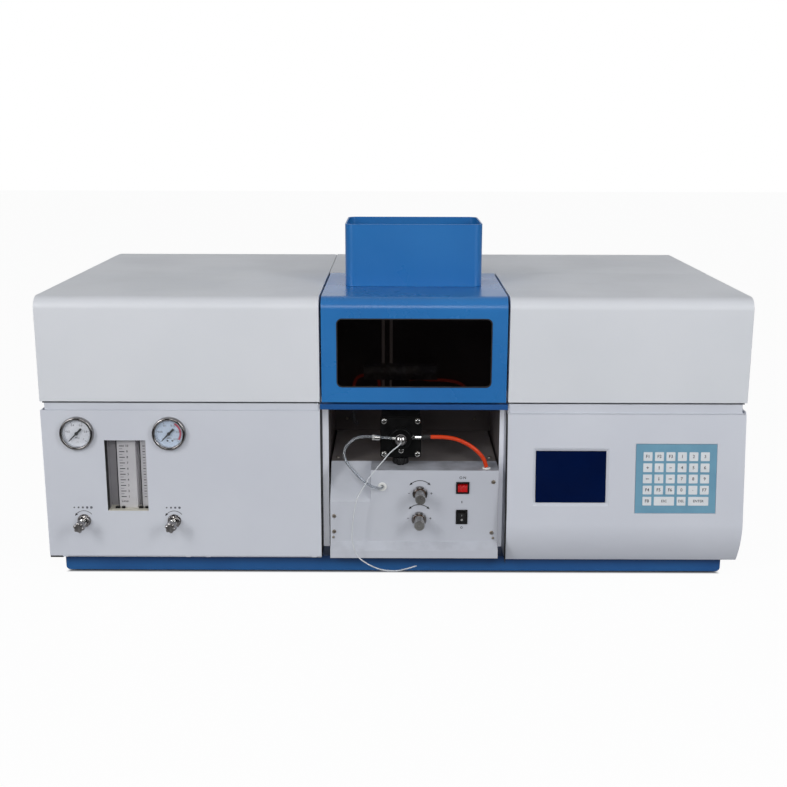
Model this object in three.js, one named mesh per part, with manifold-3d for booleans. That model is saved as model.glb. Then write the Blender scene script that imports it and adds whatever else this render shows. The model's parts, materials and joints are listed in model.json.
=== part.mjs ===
// Bench atomic absorption spectrometer, in millimetres, Z up, front towards -Y.
// The housing is folded sheet on a blue plinth: a gas cabinet with a lamp house on
// the left, an open burner bay under a lifting flame hood, and an electronics
// cabinet with the monochromator on the right. Every depth below is measured from
// the plane of the front panels, and the whole group is moved at the end so that
// the origin lies under the middle of the instrument.

import * as THREE from 'three';
import { mergeVertices } from 'three/addons/utils/BufferGeometryUtils.js';
import Module from 'manifold-3d';

const wasm = await Module();
wasm.setup();

// Sheet, gaps and cuts
const sheet = 1.6;
const panelSheet = 2;
const seat = 0.3;
const over = 1;
const rim = 20;

// Case
const caseWidth = 1020;
const caseDepth = 532;
const caseTop = 418;
const coverHeightShare = 152 / 418;
const grooveHeight = 13;
const grooveDepth = 5;
const leftShare = 404 / 1020;
const rightShare = 344.5 / 1020;
const bendRadius = 18;
const seamGap = 3;
const rearSeamGap = 1;

// Plinth
const footHeight = 4;
const footRadius = 20;
const footInset = 32;
const baseHeight = 23;
const baseInset = 20;
const baseFrontInset = 10;
const baseCorner = 6;
const baseFloor = 3;
const baseRim = 64;

// Cabinets, decks and panels
const panelGap = 3;
const panelFlange = 12;
const innerWallRise = 9;
const deckFlangeRise = 22;
const deckDrop = 3;

// Hinges along the top
const barrelRadius = 3;
const barrelGap = 0.4;
const frontLidDepth = 265;

// Hood, window and chimney
const windowSide = 21.75;
const windowHeightShare = 100 / 418;
const windowBottomShare = 288 / 418;
const windowCorner = 8;
const windowLap = 8;
const paneThickness = 3;
const chimneySide = 30.25;
const chimneyDepth = 137;
const chimneyFront = 108;
const chimneyHeight = 93;
const chimneyWall = 2;
const chimneyCorner = 14;
const collarDrop = 12;
const collarGap = 0.6;

// Burner bay and tray
const bayLeftGap = 9.5;
const bayRightGap = 7;
const bayFront = 49;
const bayDepth = 332;
const bayTopShare = 388 / 418;
const trayLevelShare = 163.8 / 418;
const trayFlange = 25;
const traySideGap = 4;

// Gas box under the tray
const gasBoxDepth = 48;
const gasBoxStepOffset = 43.5;
const ledgeReach = 12;
const ledgeBottom = 32;
const ledgeHeight = 12;
const ledgeBend = 10;
const gasBoxFoot = 14;

// Sill under the hood
const sillHeight = 7.8;
const sillDepth = 16;
const sillGap = 3.2;

// Optical axis, along X
const beamDepth = 176.5;
const beamLevelShare = 300 / 418;
const beamHole = 21.5;
const lensTubeRadius = 20;
const lensTubeWall = 4;
const lensTubeReach = 52;
const lensFlangeRadius = 28;
const lensFlangeThickness = 3;
const rightTubeReach = 29;

// Lamp turret with hollow cathode lamps
const lampCircleShare = 36 / 418;
const lampRadius = 19;
const lampBaseRadius = 17;
const lampLength = 132;
const lampBaseLength = 34;
const lampTubeGap = 10;
const lampPlaces = 4;
const turretRadiusShare = 60 / 418;
const turretPlate = 8;
const turretShaft = 6;
const turretTail = 22;
const turretPlateSpacing = 92;
const bracketThickness = 5;
const bracketWidth = 64;
const bracketCrown = 16;
const bearingGap = 0.3;

// Monochromator
const monoMargin = 64.5;
const monoDepth = 370;
const monoHeightShare = 112 / 418;
const monoFront = 70;
const monoLid = 8;
const monoFlange = 8;
const monoRibs = 4;
const monoRibThickness = 4;
const detectorRadius = 24;
const detectorHeight = 18;

// Control console on the right
const consoleGap = 4;
const consoleLean = 20;
const consoleRollTopShare = 88 / 418;
const consoleRollBottom = 27;
const consoleBottom = 25.5;
const consoleWall = 2.5;
const rollBulge = 2;
const rollPull = 28;

// Display and keypad, placed down the leaning face from its top edge
const displayPlace = 92.8 / 344.5;
const displayDropShare = 92.1 / 418;
const displayWidth = 102.2;
const displayHeightShare = 76.2 / 418;
const displayRecess = 4.4;
const displayRecessDepth = 3;
const displayThickness = 9;
const displayGap = 0.5;
const keypadPlace = 245.1 / 344.5;
const keypadDropShare = 94 / 418;
const keypadWidth = 117;
const keypadHeightShare = 101.6 / 418;
const keypadThickness = 1.2;
const keypadRecessDepth = 1.6;
const keypadGap = 0.4;
const keyPitchX = 16.6;
const keyPitchZShare = 16.4 / 418;
const keySize = 13.2;
const keyRise = 0.5;
const keyColumns = 6;
const keyRows = 5;

// Pressure gauges
const gaugeLevelShare = 219.3 / 418;
const airGaugeInset = 51.8;
const fuelGaugeInset = 185.5;
const bezelRadius = 24.5;
const bezelInner = 21.5;
const bezelReach = 8;
const gaugeCupRadius = 22.5;
const gaugeCupDepth = 26;
const gaugeStemRadius = 6;
const gaugeStemReach = 18;
const dialReach = 3.8;
const pointerTail = 10;
const pointerTip = 15.5;
const pointerTipHalf = 0.5;
const pointerTailHalf = 1.7;
const pointerThickness = 0.8;
const pointerHub = 2.6;
const pointerRest = Math.PI * 0.25;

// Flowmeters behind their window
const flowWindowInset = 120;
const flowWindowWidth = 60;
const flowWindowBottomShare = 100.2 / 418;
const flowWindowHeightShare = 108 / 418;
const flowSetback = 26;
const flowBlockWidth = 23;
const flowBlockDepth = 22;
const flowBlockLap = 16;
const airFlowInset = 112.5;
const fuelFlowInset = 148;
const flowBoreRadius = 4;
const floatRadius = 3.2;
const floatHeight = 7;
const floatRest = 6;

// Needle valves
const valveLevelShare = 85.2 / 418;
const airValveInset = 54.3;
const fuelValveInset = 187.3;
const bonnetRadius = 10;
const bonnetReach = 7;
const bonnetNeck = 6.2;
const valveBodyRadius = 12;
const valveBodyDepth = 30;
const valveStem = 3;
const valveStemGap = 0.4;
const valveSleeve = 5.2;
const valveKnobRadius = 8;
const valveKnobLength = 14;
const valveReach = 34;
const valveFlutes = 6;

// Burner adjusters on the gas box
const crossKnobOffset = 28.5;
const crossKnobLevelShare = 129.2 / 418;
const heightKnobOffset = 27.4;
const heightKnobLevelShare = 89.7 / 418;
const adjusterRadius = 7.5;
const adjusterReach = 32;
const adjusterLength = 24;
const adjusterShaft = 4;
const adjusterNutRadius = 11;
const adjusterNutThickness = 6;
const adjusterNotches = 4;
const notchWidth = 4;
const notchDepth = 2.2;
const shaftGap = 0.5;
const crossShaftReach = 140;
const heightShaftReach = 125;

// Rack and pinion that lift the burner
const gearModule = 1.5;
const gearTeeth = 14;
const gearAddendumShare = 0.8;
const gearDedendumShare = 1.05;
const pressureAngle = Math.PI / 9;
const gearPlay = 0.3;
const pinionFront = 98;
const pinionWidth = 14;
const rackTeeth = 7;
const rackTeethAbove = 1.5;

// Rocker switches
const igniterOffset = 91;
const igniterLevelShare = 137.6 / 418;
const igniterWidth = 19.4;
const igniterHeight = 18;
const mainsOffset = 90.2;
const mainsLevelShare = 92.8 / 418;
const mainsWidth = 17;
const mainsHeight = 22;
const switchLip = 2;
const switchDepth = 18;
const switchFrame = 2.4;
const rockerPlay = 1.4;
const rockerPivot = 3;
const rockerReach = 3.4;
const rockerValley = 2.2;
const rockerBack = 5;
const rockerTilt = 0.14;

// Grommets of the two gas hoses
const grommetRadius = 6.6;
const grommetNeck = 5;
const grommetLip = 2.2;
const grommetBack = 2;
const airGrommetOffset = 26.7;
const airGrommetLevelShare = 139.1 / 418;
const fuelGrommetInset = 17.7;
const fuelGrommetDepth = 11;

// Spray chamber and what is on it
const chamberOffset = 18.75;
const chamberLevelShare = 209 / 418;
const faceDepth = 16;
const faceClearance = 15.2;
const faceThickness = 12;
const faceCorner = 4;
const chamberRadiusShare = 26 / 60;
const chamberOverrun = 11.5;
const yokeMargin = 2;
const yokeSetback = 6.5;
const yokeDepth = 38;
const yokeDrop = 8;
const bossRadius = 16;
const bossReach = 9;
const neckRadius = 14;
const neckTopShare = 262 / 418;
const nebuliserRadius = 8.8;
const nebuliserRing = 5;
const nebuliserBody = 5.2;
const nebuliserBodyLength = 5;
const nebuliserTip = 1.6;
const nebuliserTipLength = 5;
const portRadius = 2.6;
const portReach = 3;
const portRise = 2.5;
const barbRadius = 3.4;
const barbBore = 1.2;
const barbReach = 14;
const barbDepth = 11.3;
const barbRise = 2;
const drainDepth = 37;
const drainNutRadius = 11.5;
const drainNutGap = 1.2;
const drainNutHeight = 10.2;
const drainNeck = 7.4;
const drainSpigot = 4;
const drainSpigotReach = 16;
const drainFlutes = 10;
const drainSlotPlay = 1.4;

// Burner head
const headLength = 116;
const headDepth = 28;
const headHeight = 22;
const headTopDepth = 18;
const slotLength = 100;
const slotWidth = 0.8;
const slotDepth = 9;

// Carriage that carries the chamber
const columnOffset = 15;
const columnFront = 88;
const columnDepth = 32;
const columnBottomShare = 66 / 418;
const saddleRiseShare = 190 / 418;
const guideGap = 0.5;
const guideMargin = 15;
const guideBottomShare = 116 / 418;
const screwMargin = 12;
const crossTravel = 5;

// Hoses, each along points chosen by hand: x, depth, height
const airHoseRadius = 2;
const fuelHoseRadius = 3;
const capillaryRadius = 0.9;
const hoseSides = 8;
const airHoseSteps = 26;
const fuelHoseSteps = 16;
const capillarySteps = 60;
// Routes of the tubes: sideways from the middle of the chamber, or from the tip of the
// fuel barb, then depth and height
const airHoseRoute = [
  [-12.2, 4.2, 211.5], [-19, 4.1, 212], [-29, 4, 212.6], [-42.7, 3, 213.9], [-53, 2, 214.3],
  [-65.2, 0, 212.2], [-75, -3, 205.5], [-80.8, -6, 197.8], [-82, -9, 189.9], [-77.3, -14, 179],
  [-68.8, -18, 169.5], [-60.6, -20.5, 161], [-50.6, -20.5, 151.6], [-41, -17, 144.5],
  [-32.5, -12.5, 140.7], [-27.8, -7.5, 139.3], [-26.7, -2.5, 139.1],
];
const fuelHoseRoute = [
  [0.3, 11.3, 211], [8.7, 11.2, 211.5], [14.7, 11, 211.6], [34.3, 10, 211.4], [51.8, 8.4, 208.6],
  [70.2, 7.9, 199.8], [82.8, 8.4, 189.6], [91.9, 9.8, 177.4], [95.5, 11, 166.4],
];
const capillaryRoute = [
  [0, -8.7, 209], [0.4, -12, 209.2], [-0.5, -14.5, 208.4], [-4.4, -17, 205], [-15, -19.5, 196.7],
  [-24.9, -21.5, 185.3], [-33.9, -22.8, 174.5], [-43.9, -24, 162], [-50.8, -25, 150.5],
  [-57.2, -25.6, 140], [-62.3, -26, 130], [-66.2, -26.4, 114.9], [-68.9, -26.7, 96], [-70.4, -27, 68.8],
  [-67.1, -27, 50.8], [-61.4, -27, 39.6], [-49.7, -26.5, 29.8], [-36.5, -26, 22.6], [-26.1, -25, 18.8],
  [-6.7, -23, 16.6], [9, -21, 19], [23.9, -19, 23],
];

// Gas and mains inlets on the back
const gasInletInset = 180;
const gasInletLevel = 110;
const gasInletSpacing = 40;
const inletPlateWidth = 84;
const inletPlateHeight = 30;
const inletPlateThickness = 3;
const inletCorner = 3;
const inletHoleRadius = 8;
const barbStem = 4.5;
const barbLip = 6;
const barbShares = [0.34, 0.5, 0.75];
const rearReach = 26;
const inletBodyDepth = 20;
const mainsInletLevel = 80;
const mainsPlateWidth = 50;
const mainsPlateHeight = 30;
const mainsBodyWidth = 28;
const mainsBodyHeight = 21;
const mainsBodyDepth = 24;
const mainsWall = 2.4;
const mainsPin = 2;
const mainsPinDepth = 5;
const mainsPinSpread = 7;
const mainsPinLength = 14;

// Cooling slots in the back
const ventPlace = 84.5 / 344.5;
const ventBottom = 60;
const ventRows = 12;
const ventColumns = 2;
const ventPitchShare = 13 / 418;
const ventShare = 70 / 344.5;
const ventHeight = 5;
const ventSpacingShare = 90 / 344.5;

// Facets
const bendSteps = 6;
const roundSteps = 24;
const smallSteps = 16;
const fittingSteps = 12;
const fluteSteps = 4;
const cornerSteps = 4;
const rollSteps = 8;

// Places worked out from the sizes above
const coverHeight = caseTop * coverHeightShare;
const windowHeight = caseTop * windowHeightShare;
const windowBottom = caseTop * windowBottomShare;
const bayTop = caseTop * bayTopShare;
const trayLevel = caseTop * trayLevelShare;
const beamLevel = caseTop * beamLevelShare;
const lampCircle = caseTop * lampCircleShare;
const turretRadius = caseTop * turretRadiusShare;
const monoHeight = caseTop * monoHeightShare;
const consoleRollTop = caseTop * consoleRollTopShare;
const displayDrop = caseTop * displayDropShare;
const displayHeight = caseTop * displayHeightShare;
const keypadDrop = caseTop * keypadDropShare;
const keypadHeight = caseTop * keypadHeightShare;
const keyPitchZ = caseTop * keyPitchZShare;
const gaugeLevel = caseTop * gaugeLevelShare;
const flowWindowBottom = caseTop * flowWindowBottomShare;
const flowWindowHeight = caseTop * flowWindowHeightShare;
const valveLevel = caseTop * valveLevelShare;
const crossKnobLevel = caseTop * crossKnobLevelShare;
const heightKnobLevel = caseTop * heightKnobLevelShare;
const igniterLevel = caseTop * igniterLevelShare;
const mainsLevel = caseTop * mainsLevelShare;
const airGrommetLevel = caseTop * airGrommetLevelShare;
const chamberLevel = caseTop * chamberLevelShare;
const neckTop = caseTop * neckTopShare;
const columnBottom = caseTop * columnBottomShare;
const saddleRise = caseTop * saddleRiseShare;
const guideBottom = caseTop * guideBottomShare;
const ventPitch = caseTop * ventPitchShare;
const leftEnd = -caseWidth / 2;
const rightEnd = caseWidth / 2;
const leftWidth = caseWidth * leftShare;
const rightWidth = caseWidth * rightShare;
const leftInner = leftEnd + leftWidth;
const rightInner = rightEnd - rightWidth;
const bayCentre = (leftInner + rightInner) / 2;
const coverBottom = caseTop - coverHeight;
const panelTop = coverBottom - grooveHeight;
const consoleTop = panelTop - consoleGap;
const baseTop = footHeight + baseHeight;
const cabinetFloor = baseTop + seat;
const panelBottom = baseTop + panelGap;
const cabinetFront = panelSheet + seat;
const cabinetBack = caseDepth - sheet - seat;
const innerWallTop = panelTop + innerWallRise;
const deckLevel = panelTop - deckDrop;
const barrelLevel = caseTop - barrelRadius;
const frontHingeDepth = frontLidDepth + barrelRadius + barrelGap;
const rearHingeDepth = caseDepth - barrelRadius;
const hoodLeft = leftInner + seamGap;
const hoodRight = rightInner - seamGap;
const bayLeft = leftInner + bayLeftGap;
const bayRight = rightInner - bayRightGap;
const bayBack = bayFront + bayDepth;
const gasBoxLeft = bayLeft + traySideGap;
const gasBoxRight = bayRight - traySideGap;
const airGaugeX = leftEnd + airGaugeInset;
const fuelGaugeX = leftEnd + fuelGaugeInset;
const flowWindowX = leftEnd + flowWindowInset;
const airFlowX = leftEnd + airFlowInset;
const fuelFlowX = leftEnd + fuelFlowInset;
const airValveX = leftEnd + airValveInset;
const fuelValveX = leftEnd + fuelValveInset;
const gasInletX = leftEnd + gasInletInset;
const displayX = rightInner + rightWidth * displayPlace;
const keypadX = rightInner + rightWidth * keypadPlace;
const ventX = rightInner + rightWidth * ventPlace;
const ventWidth = rightWidth * ventShare;
const ventSpacing = rightWidth * ventSpacingShare;
const mainsInletX = ventX + ventSpacing + (ventWidth + mainsPlateWidth) / 2;
const windowWidth = hoodRight - hoodLeft - windowSide * 2;
const chimneyWidth = hoodRight - hoodLeft - chimneySide * 2;
const monoWidth = rightWidth - monoMargin;
const chamberX = bayCentre - chamberOffset;
const chamberLength = beamDepth + chamberOverrun - faceDepth;
const faceSize = (chamberLevel - trayLevel - faceClearance) * 2;
const chamberRadius = faceSize * chamberRadiusShare;
const drainNutBottom = trayLevel + drainNutGap;
const columnLeft = chamberX - columnOffset;
const crossKnobX = chamberX + crossKnobOffset;
const heightKnobX = chamberX + heightKnobOffset;
const igniterX = chamberX + igniterOffset;
const mainsX = chamberX + mainsOffset;
const airGrommetX = chamberX - airGrommetOffset;
const fuelGrommetX = gasBoxRight - fuelGrommetInset;
const gasBoxStepX = chamberX - gasBoxStepOffset;
const barbTip = chamberX + bossRadius + seat + barbReach;
const ledgeTop = ledgeBottom + ledgeHeight;
const gasBoxFrontBottom = ledgeTop + ledgeBend;
const slopeStart = trayLevel - gasBoxDepth;
const sillTop = coverBottom - sillGap;
const turretLevel = beamLevel + lampCircle;
const lampTip = bayLeft - sheet - lensTubeReach - lampTubeGap;
const turretFront = lampTip - lampLength - lampBaseLength;
const consoleTilt = -Math.atan2(consoleLean, consoleTop - consoleRollTop);
const frontPlane = -(caseDepth + rearReach - valveReach) / 2;
const pitchRadius = (gearModule * gearTeeth) / 2;
const pitchLine = heightKnobX - pitchRadius;
const rackRoot = pitchLine - gearModule * gearDedendumShare;
const rackTip = pitchLine + gearModule * gearAddendumShare;

// A closed geometry as a solid that can be joined and cut
function solidOf(geometry) {
  const bare = geometry.clone();
  bare.deleteAttribute('normal');
  bare.deleteAttribute('uv');
  const merged = mergeVertices(bare);
  const place = merged.attributes.position.array;
  const faces = Uint32Array.from(merged.index.array);
  let volume = 0;
  const [a, b, c] = [new THREE.Vector3(), new THREE.Vector3(), new THREE.Vector3()];
  for (let i = 0; i < faces.length; i += 3) {
    a.fromArray(place, faces[i] * 3);
    b.fromArray(place, faces[i + 1] * 3);
    c.fromArray(place, faces[i + 2] * 3);
    volume += a.dot(b.cross(c));
  }
  if (volume < 0) {
    for (let i = 0; i < faces.length; i += 3) {
      [faces[i], faces[i + 1]] = [faces[i + 1], faces[i]];
    }
  }
  return new wasm.Manifold(new wasm.Mesh({ numProp: 3, vertProperties: place, triVerts: faces }));
}

// A joined or cut solid back as a geometry
function geometryOf(solid) {
  const mesh = solid.getMesh();
  const geometry = new THREE.BufferGeometry();
  geometry.setAttribute('position', new THREE.BufferAttribute(Float32Array.from(mesh.vertProperties), 3));
  geometry.setIndex(new THREE.BufferAttribute(Uint32Array.from(mesh.triVerts), 1));
  geometry.computeVertexNormals();
  return geometry;
}

function join(...parts) {
  return geometryOf(parts.map(solidOf).reduce((whole, next) => whole.add(next)));
}

function cut(body, ...tools) {
  return geometryOf(tools.map(solidOf).reduce((left, tool) => left.subtract(tool), solidOf(body)));
}

// A box between two corners
function block(x0, x1, y0, y1, z0, z1) {
  const box = new THREE.BoxGeometry(x1 - x0, y1 - y0, z1 - z0);
  return box.translate((x0 + x1) / 2, (y0 + y1) / 2, (z0 + z1) / 2);
}

function outlineOf(points) {
  return points instanceof THREE.Shape
    ? points
    : new THREE.Shape(points.map(([u, v]) => new THREE.Vector2(u, v)));
}

function extruded(points, length) {
  const settings = { depth: length, bevelEnabled: false, curveSegments: cornerSteps };
  return new THREE.ExtrudeGeometry(outlineOf(points), settings);
}

// An outline in depth and height, drawn out along X
function alongX(points, x0, x1) {
  const turn = new THREE.Matrix4().makeBasis(
    new THREE.Vector3(0, 1, 0), new THREE.Vector3(0, 0, 1), new THREE.Vector3(1, 0, 0));
  return extruded(points, x1 - x0).applyMatrix4(turn).translate(x0, 0, 0);
}

// An outline in width and height, drawn out along the depth
function alongY(points, y0, y1) {
  return extruded(points, y1 - y0).rotateX(Math.PI / 2).translate(0, y1, 0);
}

// An outline in width and depth, drawn out upwards
function alongZ(points, z0, z1) {
  return extruded(points, z1 - z0).translate(0, 0, z0);
}

// A rectangle with round corners
function roundedBox(u, v, width, height, corner) {
  const [left, right] = [u - width / 2, u + width / 2];
  const [low, high] = [v - height / 2, v + height / 2];
  const path = new THREE.Shape();
  path.moveTo(left + corner, low);
  path.lineTo(right - corner, low);
  path.absarc(right - corner, low + corner, corner, -Math.PI / 2, 0);
  path.lineTo(right, high - corner);
  path.absarc(right - corner, high - corner, corner, 0, Math.PI / 2);
  path.lineTo(left + corner, high);
  path.absarc(left + corner, high - corner, corner, Math.PI / 2, Math.PI);
  path.lineTo(left, low + corner);
  path.absarc(left + corner, low + corner, corner, Math.PI, Math.PI * 1.5);
  return path;
}

function circle(u, v, radius, steps = roundSteps) {
  return Array.from({ length: steps }, (_, i) => {
    const angle = (i / steps) * Math.PI * 2;
    return [u + radius * Math.cos(angle), v + radius * Math.sin(angle)];
  });
}

// A round outline whose radius swells and shrinks in even flutes
function fluted(u, v, radius, depth, flutes) {
  const steps = flutes * fluteSteps;
  return Array.from({ length: steps }, (_, i) => {
    const angle = (i / steps) * Math.PI * 2;
    const reach = radius - (depth * (1 - Math.cos(angle * flutes))) / 2;
    return [u + reach * Math.cos(angle), v + reach * Math.sin(angle)];
  });
}

// A profile of radius and place, turned about an axis along X, Y or Z
function turned(profile, axis, x, y, z, steps = roundSteps) {
  const lathe = new THREE.LatheGeometry(profile.map(([r, a]) => new THREE.Vector2(r, a)), steps);
  if (axis === 'x') lathe.rotateZ(-Math.PI / 2);
  if (axis === 'z') lathe.rotateX(Math.PI / 2);
  return lathe.translate(x, y, z);
}

function rodX(x0, x1, y, z, radius, steps = roundSteps) {
  return alongX(circle(y, z, radius, steps), x0, x1);
}

function rodY(x, y0, y1, z, radius, steps = roundSteps) {
  return alongY(circle(x, z, radius, steps), y0, y1);
}

function rodZ(x, y, z0, z1, radius, steps = roundSteps) {
  return alongZ(circle(x, y, radius, steps), z0, z1);
}

// A round hose along a smooth curve through its points
function hose(points, radius, steps) {
  const route = new THREE.CatmullRomCurve3(points.map((p) => new THREE.Vector3(...p)), false, 'centripetal');
  const section = new THREE.Shape(circle(0, 0, radius, hoseSides).map(([a, b]) => new THREE.Vector2(a, b)));
  return new THREE.ExtrudeGeometry(section, { steps, extrudePath: route, bevelEnabled: false });
}

const spectrometer = new THREE.Group();
spectrometer.position.y = frontPlane;

function finish(color, roughness, metalness = 0) {
  return new THREE.MeshStandardMaterial({ color, roughness, metalness });
}

const paint = {
  cover: () => finish('#c9cdd5', 0.42),
  panel: () => finish('#bcc0ca', 0.45),
  blue: () => finish('#2a68a8', 0.38),
  plinth: () => finish('#264f88', 0.45),
  bay: () => finish('#6f6a66', 0.5, 0.6),
};
const chrome = () => finish('#c8cbd0', 0.18, 1);
const steel = () => finish('#8f9296', 0.35, 0.9);
const black = () => finish('#17171a', 0.45);
const white = () => finish('#eeeeea', 0.5);

function piece(name, geometry, material, parent = spectrometer) {
  const mesh = new THREE.Mesh(geometry, material);
  mesh.name = name;
  parent.add(mesh);
  return mesh;
}

// Blue plinth: a shallow cast tray, open underneath, with its four low feet
function plinth() {
  const [x0, x1] = [leftEnd + baseInset, rightEnd - baseInset];
  const [y0, y1] = [baseFrontInset, caseDepth - baseFrontInset];
  const shape = new THREE.Shape();
  shape.moveTo(x0, baseTop);
  shape.lineTo(x0, footHeight + baseCorner);
  shape.absarc(x0 + baseCorner, footHeight + baseCorner, baseCorner, Math.PI, Math.PI * 1.5);
  shape.lineTo(x1 - baseCorner, footHeight);
  shape.absarc(x1 - baseCorner, footHeight + baseCorner, baseCorner, Math.PI * 1.5, Math.PI * 2);
  shape.lineTo(x1, baseTop);
  const bays = 3;
  const bayWidth = (x1 - x0 - baseRim * (bays + 1)) / bays;
  const pockets = Array.from({ length: bays }, (_, i) => {
    const start = x0 + baseRim + i * (bayWidth + baseRim);
    return block(start, start + bayWidth, y0 + baseRim, y1 - baseRim, footHeight - over, baseTop - baseFloor);
  });
  const feet = [x0 + footInset, x1 - footInset].flatMap((x) =>
    [y0 + footInset, y1 - footInset].map((y) => rodZ(x, y, 0, footHeight + over, footRadius, smallSteps)));
  piece('base_plinth', join(cut(alongY(shape, y0, y1), ...pockets), ...feet), paint.plinth());
}

// A cabinet: floor, outer wall and the wall towards the burner bay, of one sheet
function cabinet(name, outer, inner) {
  const side = Math.sign(inner - outer);
  const outline = [
    [outer, cabinetFloor], [inner, cabinetFloor], [inner, innerWallTop],
    [inner - side * sheet, innerWallTop], [inner - side * sheet, cabinetFloor + sheet],
    [outer + side * sheet, cabinetFloor + sheet], [outer + side * sheet, panelTop], [outer, panelTop],
  ];
  piece(name, alongY(outline, cabinetFront, cabinetBack), paint.panel());
}

// The deck that closes a cabinet, with an upstanding edge behind the groove
function deckOf(outer, inner) {
  const side = Math.sign(inner - outer);
  const [a, b] = [outer + side * (sheet + seat), inner - side * (sheet + seat)];
  const [x0, x1] = [Math.min(a, b), Math.max(a, b)];
  const outerEdge = outer + side * grooveDepth;
  const [e0, e1] = [Math.min(outerEdge, b), Math.max(outerEdge, b)];
  const back = cabinetBack - seat;
  const plate = block(x0, x1, cabinetFront + seat, back, deckLevel - sheet, deckLevel);
  const ring = cut(
    block(e0, e1, grooveDepth, back, deckLevel - sheet, deckLevel + deckFlangeRise),
    block(e0 + sheet, e1 - sheet, grooveDepth + sheet, back - sheet, deckLevel - over, caseTop));
  return join(plate, ring);
}

function decks() {
  const bracketBack = turretFront - turretPlate - seat;
  const bracket = alongX([
    [beamDepth - bracketWidth / 2, deckLevel - sheet / 2],
    [beamDepth + bracketWidth / 2, deckLevel - sheet / 2],
    [beamDepth + bracketCrown, turretLevel + bracketCrown],
    [beamDepth - bracketCrown, turretLevel + bracketCrown],
  ], bracketBack - bracketThickness, bracketBack);
  const bearing = rodX(bracketBack - turretTail, bracketBack + over, beamDepth, turretLevel,
    turretShaft + bearingGap, smallSteps);
  piece('left_deck', cut(join(deckOf(leftEnd, leftInner), bracket), bearing), steel());
  piece('right_deck', deckOf(rightEnd, rightInner), steel());
}

// Back panel: full width below, and up to the hinge of the lamp cover on the left
function rearPanel() {
  const low = coverBottom - seat;
  const x0 = leftEnd + sheet + seat;
  const x1 = leftInner - sheet - seat;
  const outline = [
    [leftEnd, cabinetFloor], [rightEnd, cabinetFloor], [rightEnd, low], [x1, low],
    [x1, barrelLevel], [x0, barrelLevel], [x0, low], [leftEnd, low],
  ];
  const wall = alongY(outline, caseDepth - sheet, caseDepth);
  const barrel = rodX(x0, x1, rearHingeDepth, barrelLevel, barrelRadius, smallSteps);
  const window = (x, z, width, height) => block(x - width / 2, x + width / 2,
    caseDepth - sheet - over, caseDepth + over, z - height / 2, z + height / 2);
  const holes = [window(mainsInletX, mainsInletLevel, mainsBodyWidth + seat * 2, mainsBodyHeight + seat * 2)];
  [-1, 1].forEach((side) => {
    const x = gasInletX + (side * gasInletSpacing) / 2;
    const reach = [caseDepth - sheet - over, caseDepth + over];
    holes.push(rodY(x, ...reach, gasInletLevel, inletHoleRadius, smallSteps));
  });
  for (let column = 0; column < ventColumns; column += 1) {
    for (let row = 0; row < ventRows; row += 1) {
      holes.push(window(ventX + column * ventSpacing, ventBottom + row * ventPitch, ventWidth, ventHeight));
    }
  }
  piece('rear_panel', cut(join(wall, barrel), ...holes), paint.panel());
}

// Burner bay: side walls, back wall and front jambs folded from one dark sheet
function burnerBay() {
  const [l, r] = [bayLeft - sheet, bayRight + sheet];
  const outline = [
    [leftInner + seat, bayFront], [bayLeft, bayFront], [bayLeft, bayBack], [bayRight, bayBack],
    [bayRight, bayFront], [rightInner - seat, bayFront], [rightInner - seat, bayFront + sheet],
    [r, bayFront + sheet], [r, bayBack + sheet], [l, bayBack + sheet], [l, bayFront + sheet],
    [leftInner + seat, bayFront + sheet],
  ];
  const beam = rodX(l - over, r + over, beamDepth, beamLevel, beamHole, smallSteps);
  piece('burner_bay', cut(alongZ(outline, cabinetFloor, bayTop), beam), paint.bay());
}

// Tray that floors the bay, with a slot for the column of the burner
function burnerTray() {
  const [x0, x1] = [gasBoxLeft, gasBoxRight];
  const [y0, y1] = [gasBoxDepth + seat, bayBack - seat];
  const plate = block(x0, x1, y0, y1, trayLevel - sheet, trayLevel);
  const flanges = [x0, x1 - sheet].map((x) =>
    block(x, x + sheet, y0, y1, trayLevel - trayFlange, trayLevel - sheet / 2));
  const play = guideGap + crossTravel + seat;
  const slot = block(columnLeft - guideGap, rackTip + guideGap, columnFront - play,
    columnFront + columnDepth + play, trayLevel - trayFlange, trayLevel + over);
  piece('burner_tray', cut(join(plate, ...flanges), slot), paint.bay());
}

// Depth and height outline of the gas box, plain or with its sloping upper face
function gasBoxOutline(sloped, inset, reach) {
  const root = Math.SQRT2 * inset;
  const low = ledgeBottom - reach;
  const back = gasBoxDepth + reach;
  const upper = sloped
    ? [[inset, slopeStart - root + inset], [back, slopeStart - root + back]]
    : [[inset, trayLevel - inset], [back, trayLevel - inset]];
  const lower = [
    [inset - ledgeReach, low], [inset - ledgeReach, ledgeTop - inset],
    [inset, gasBoxFrontBottom - inset],
  ];
  return [...lower, ...upper, [back, low]].reverse();
}

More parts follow.
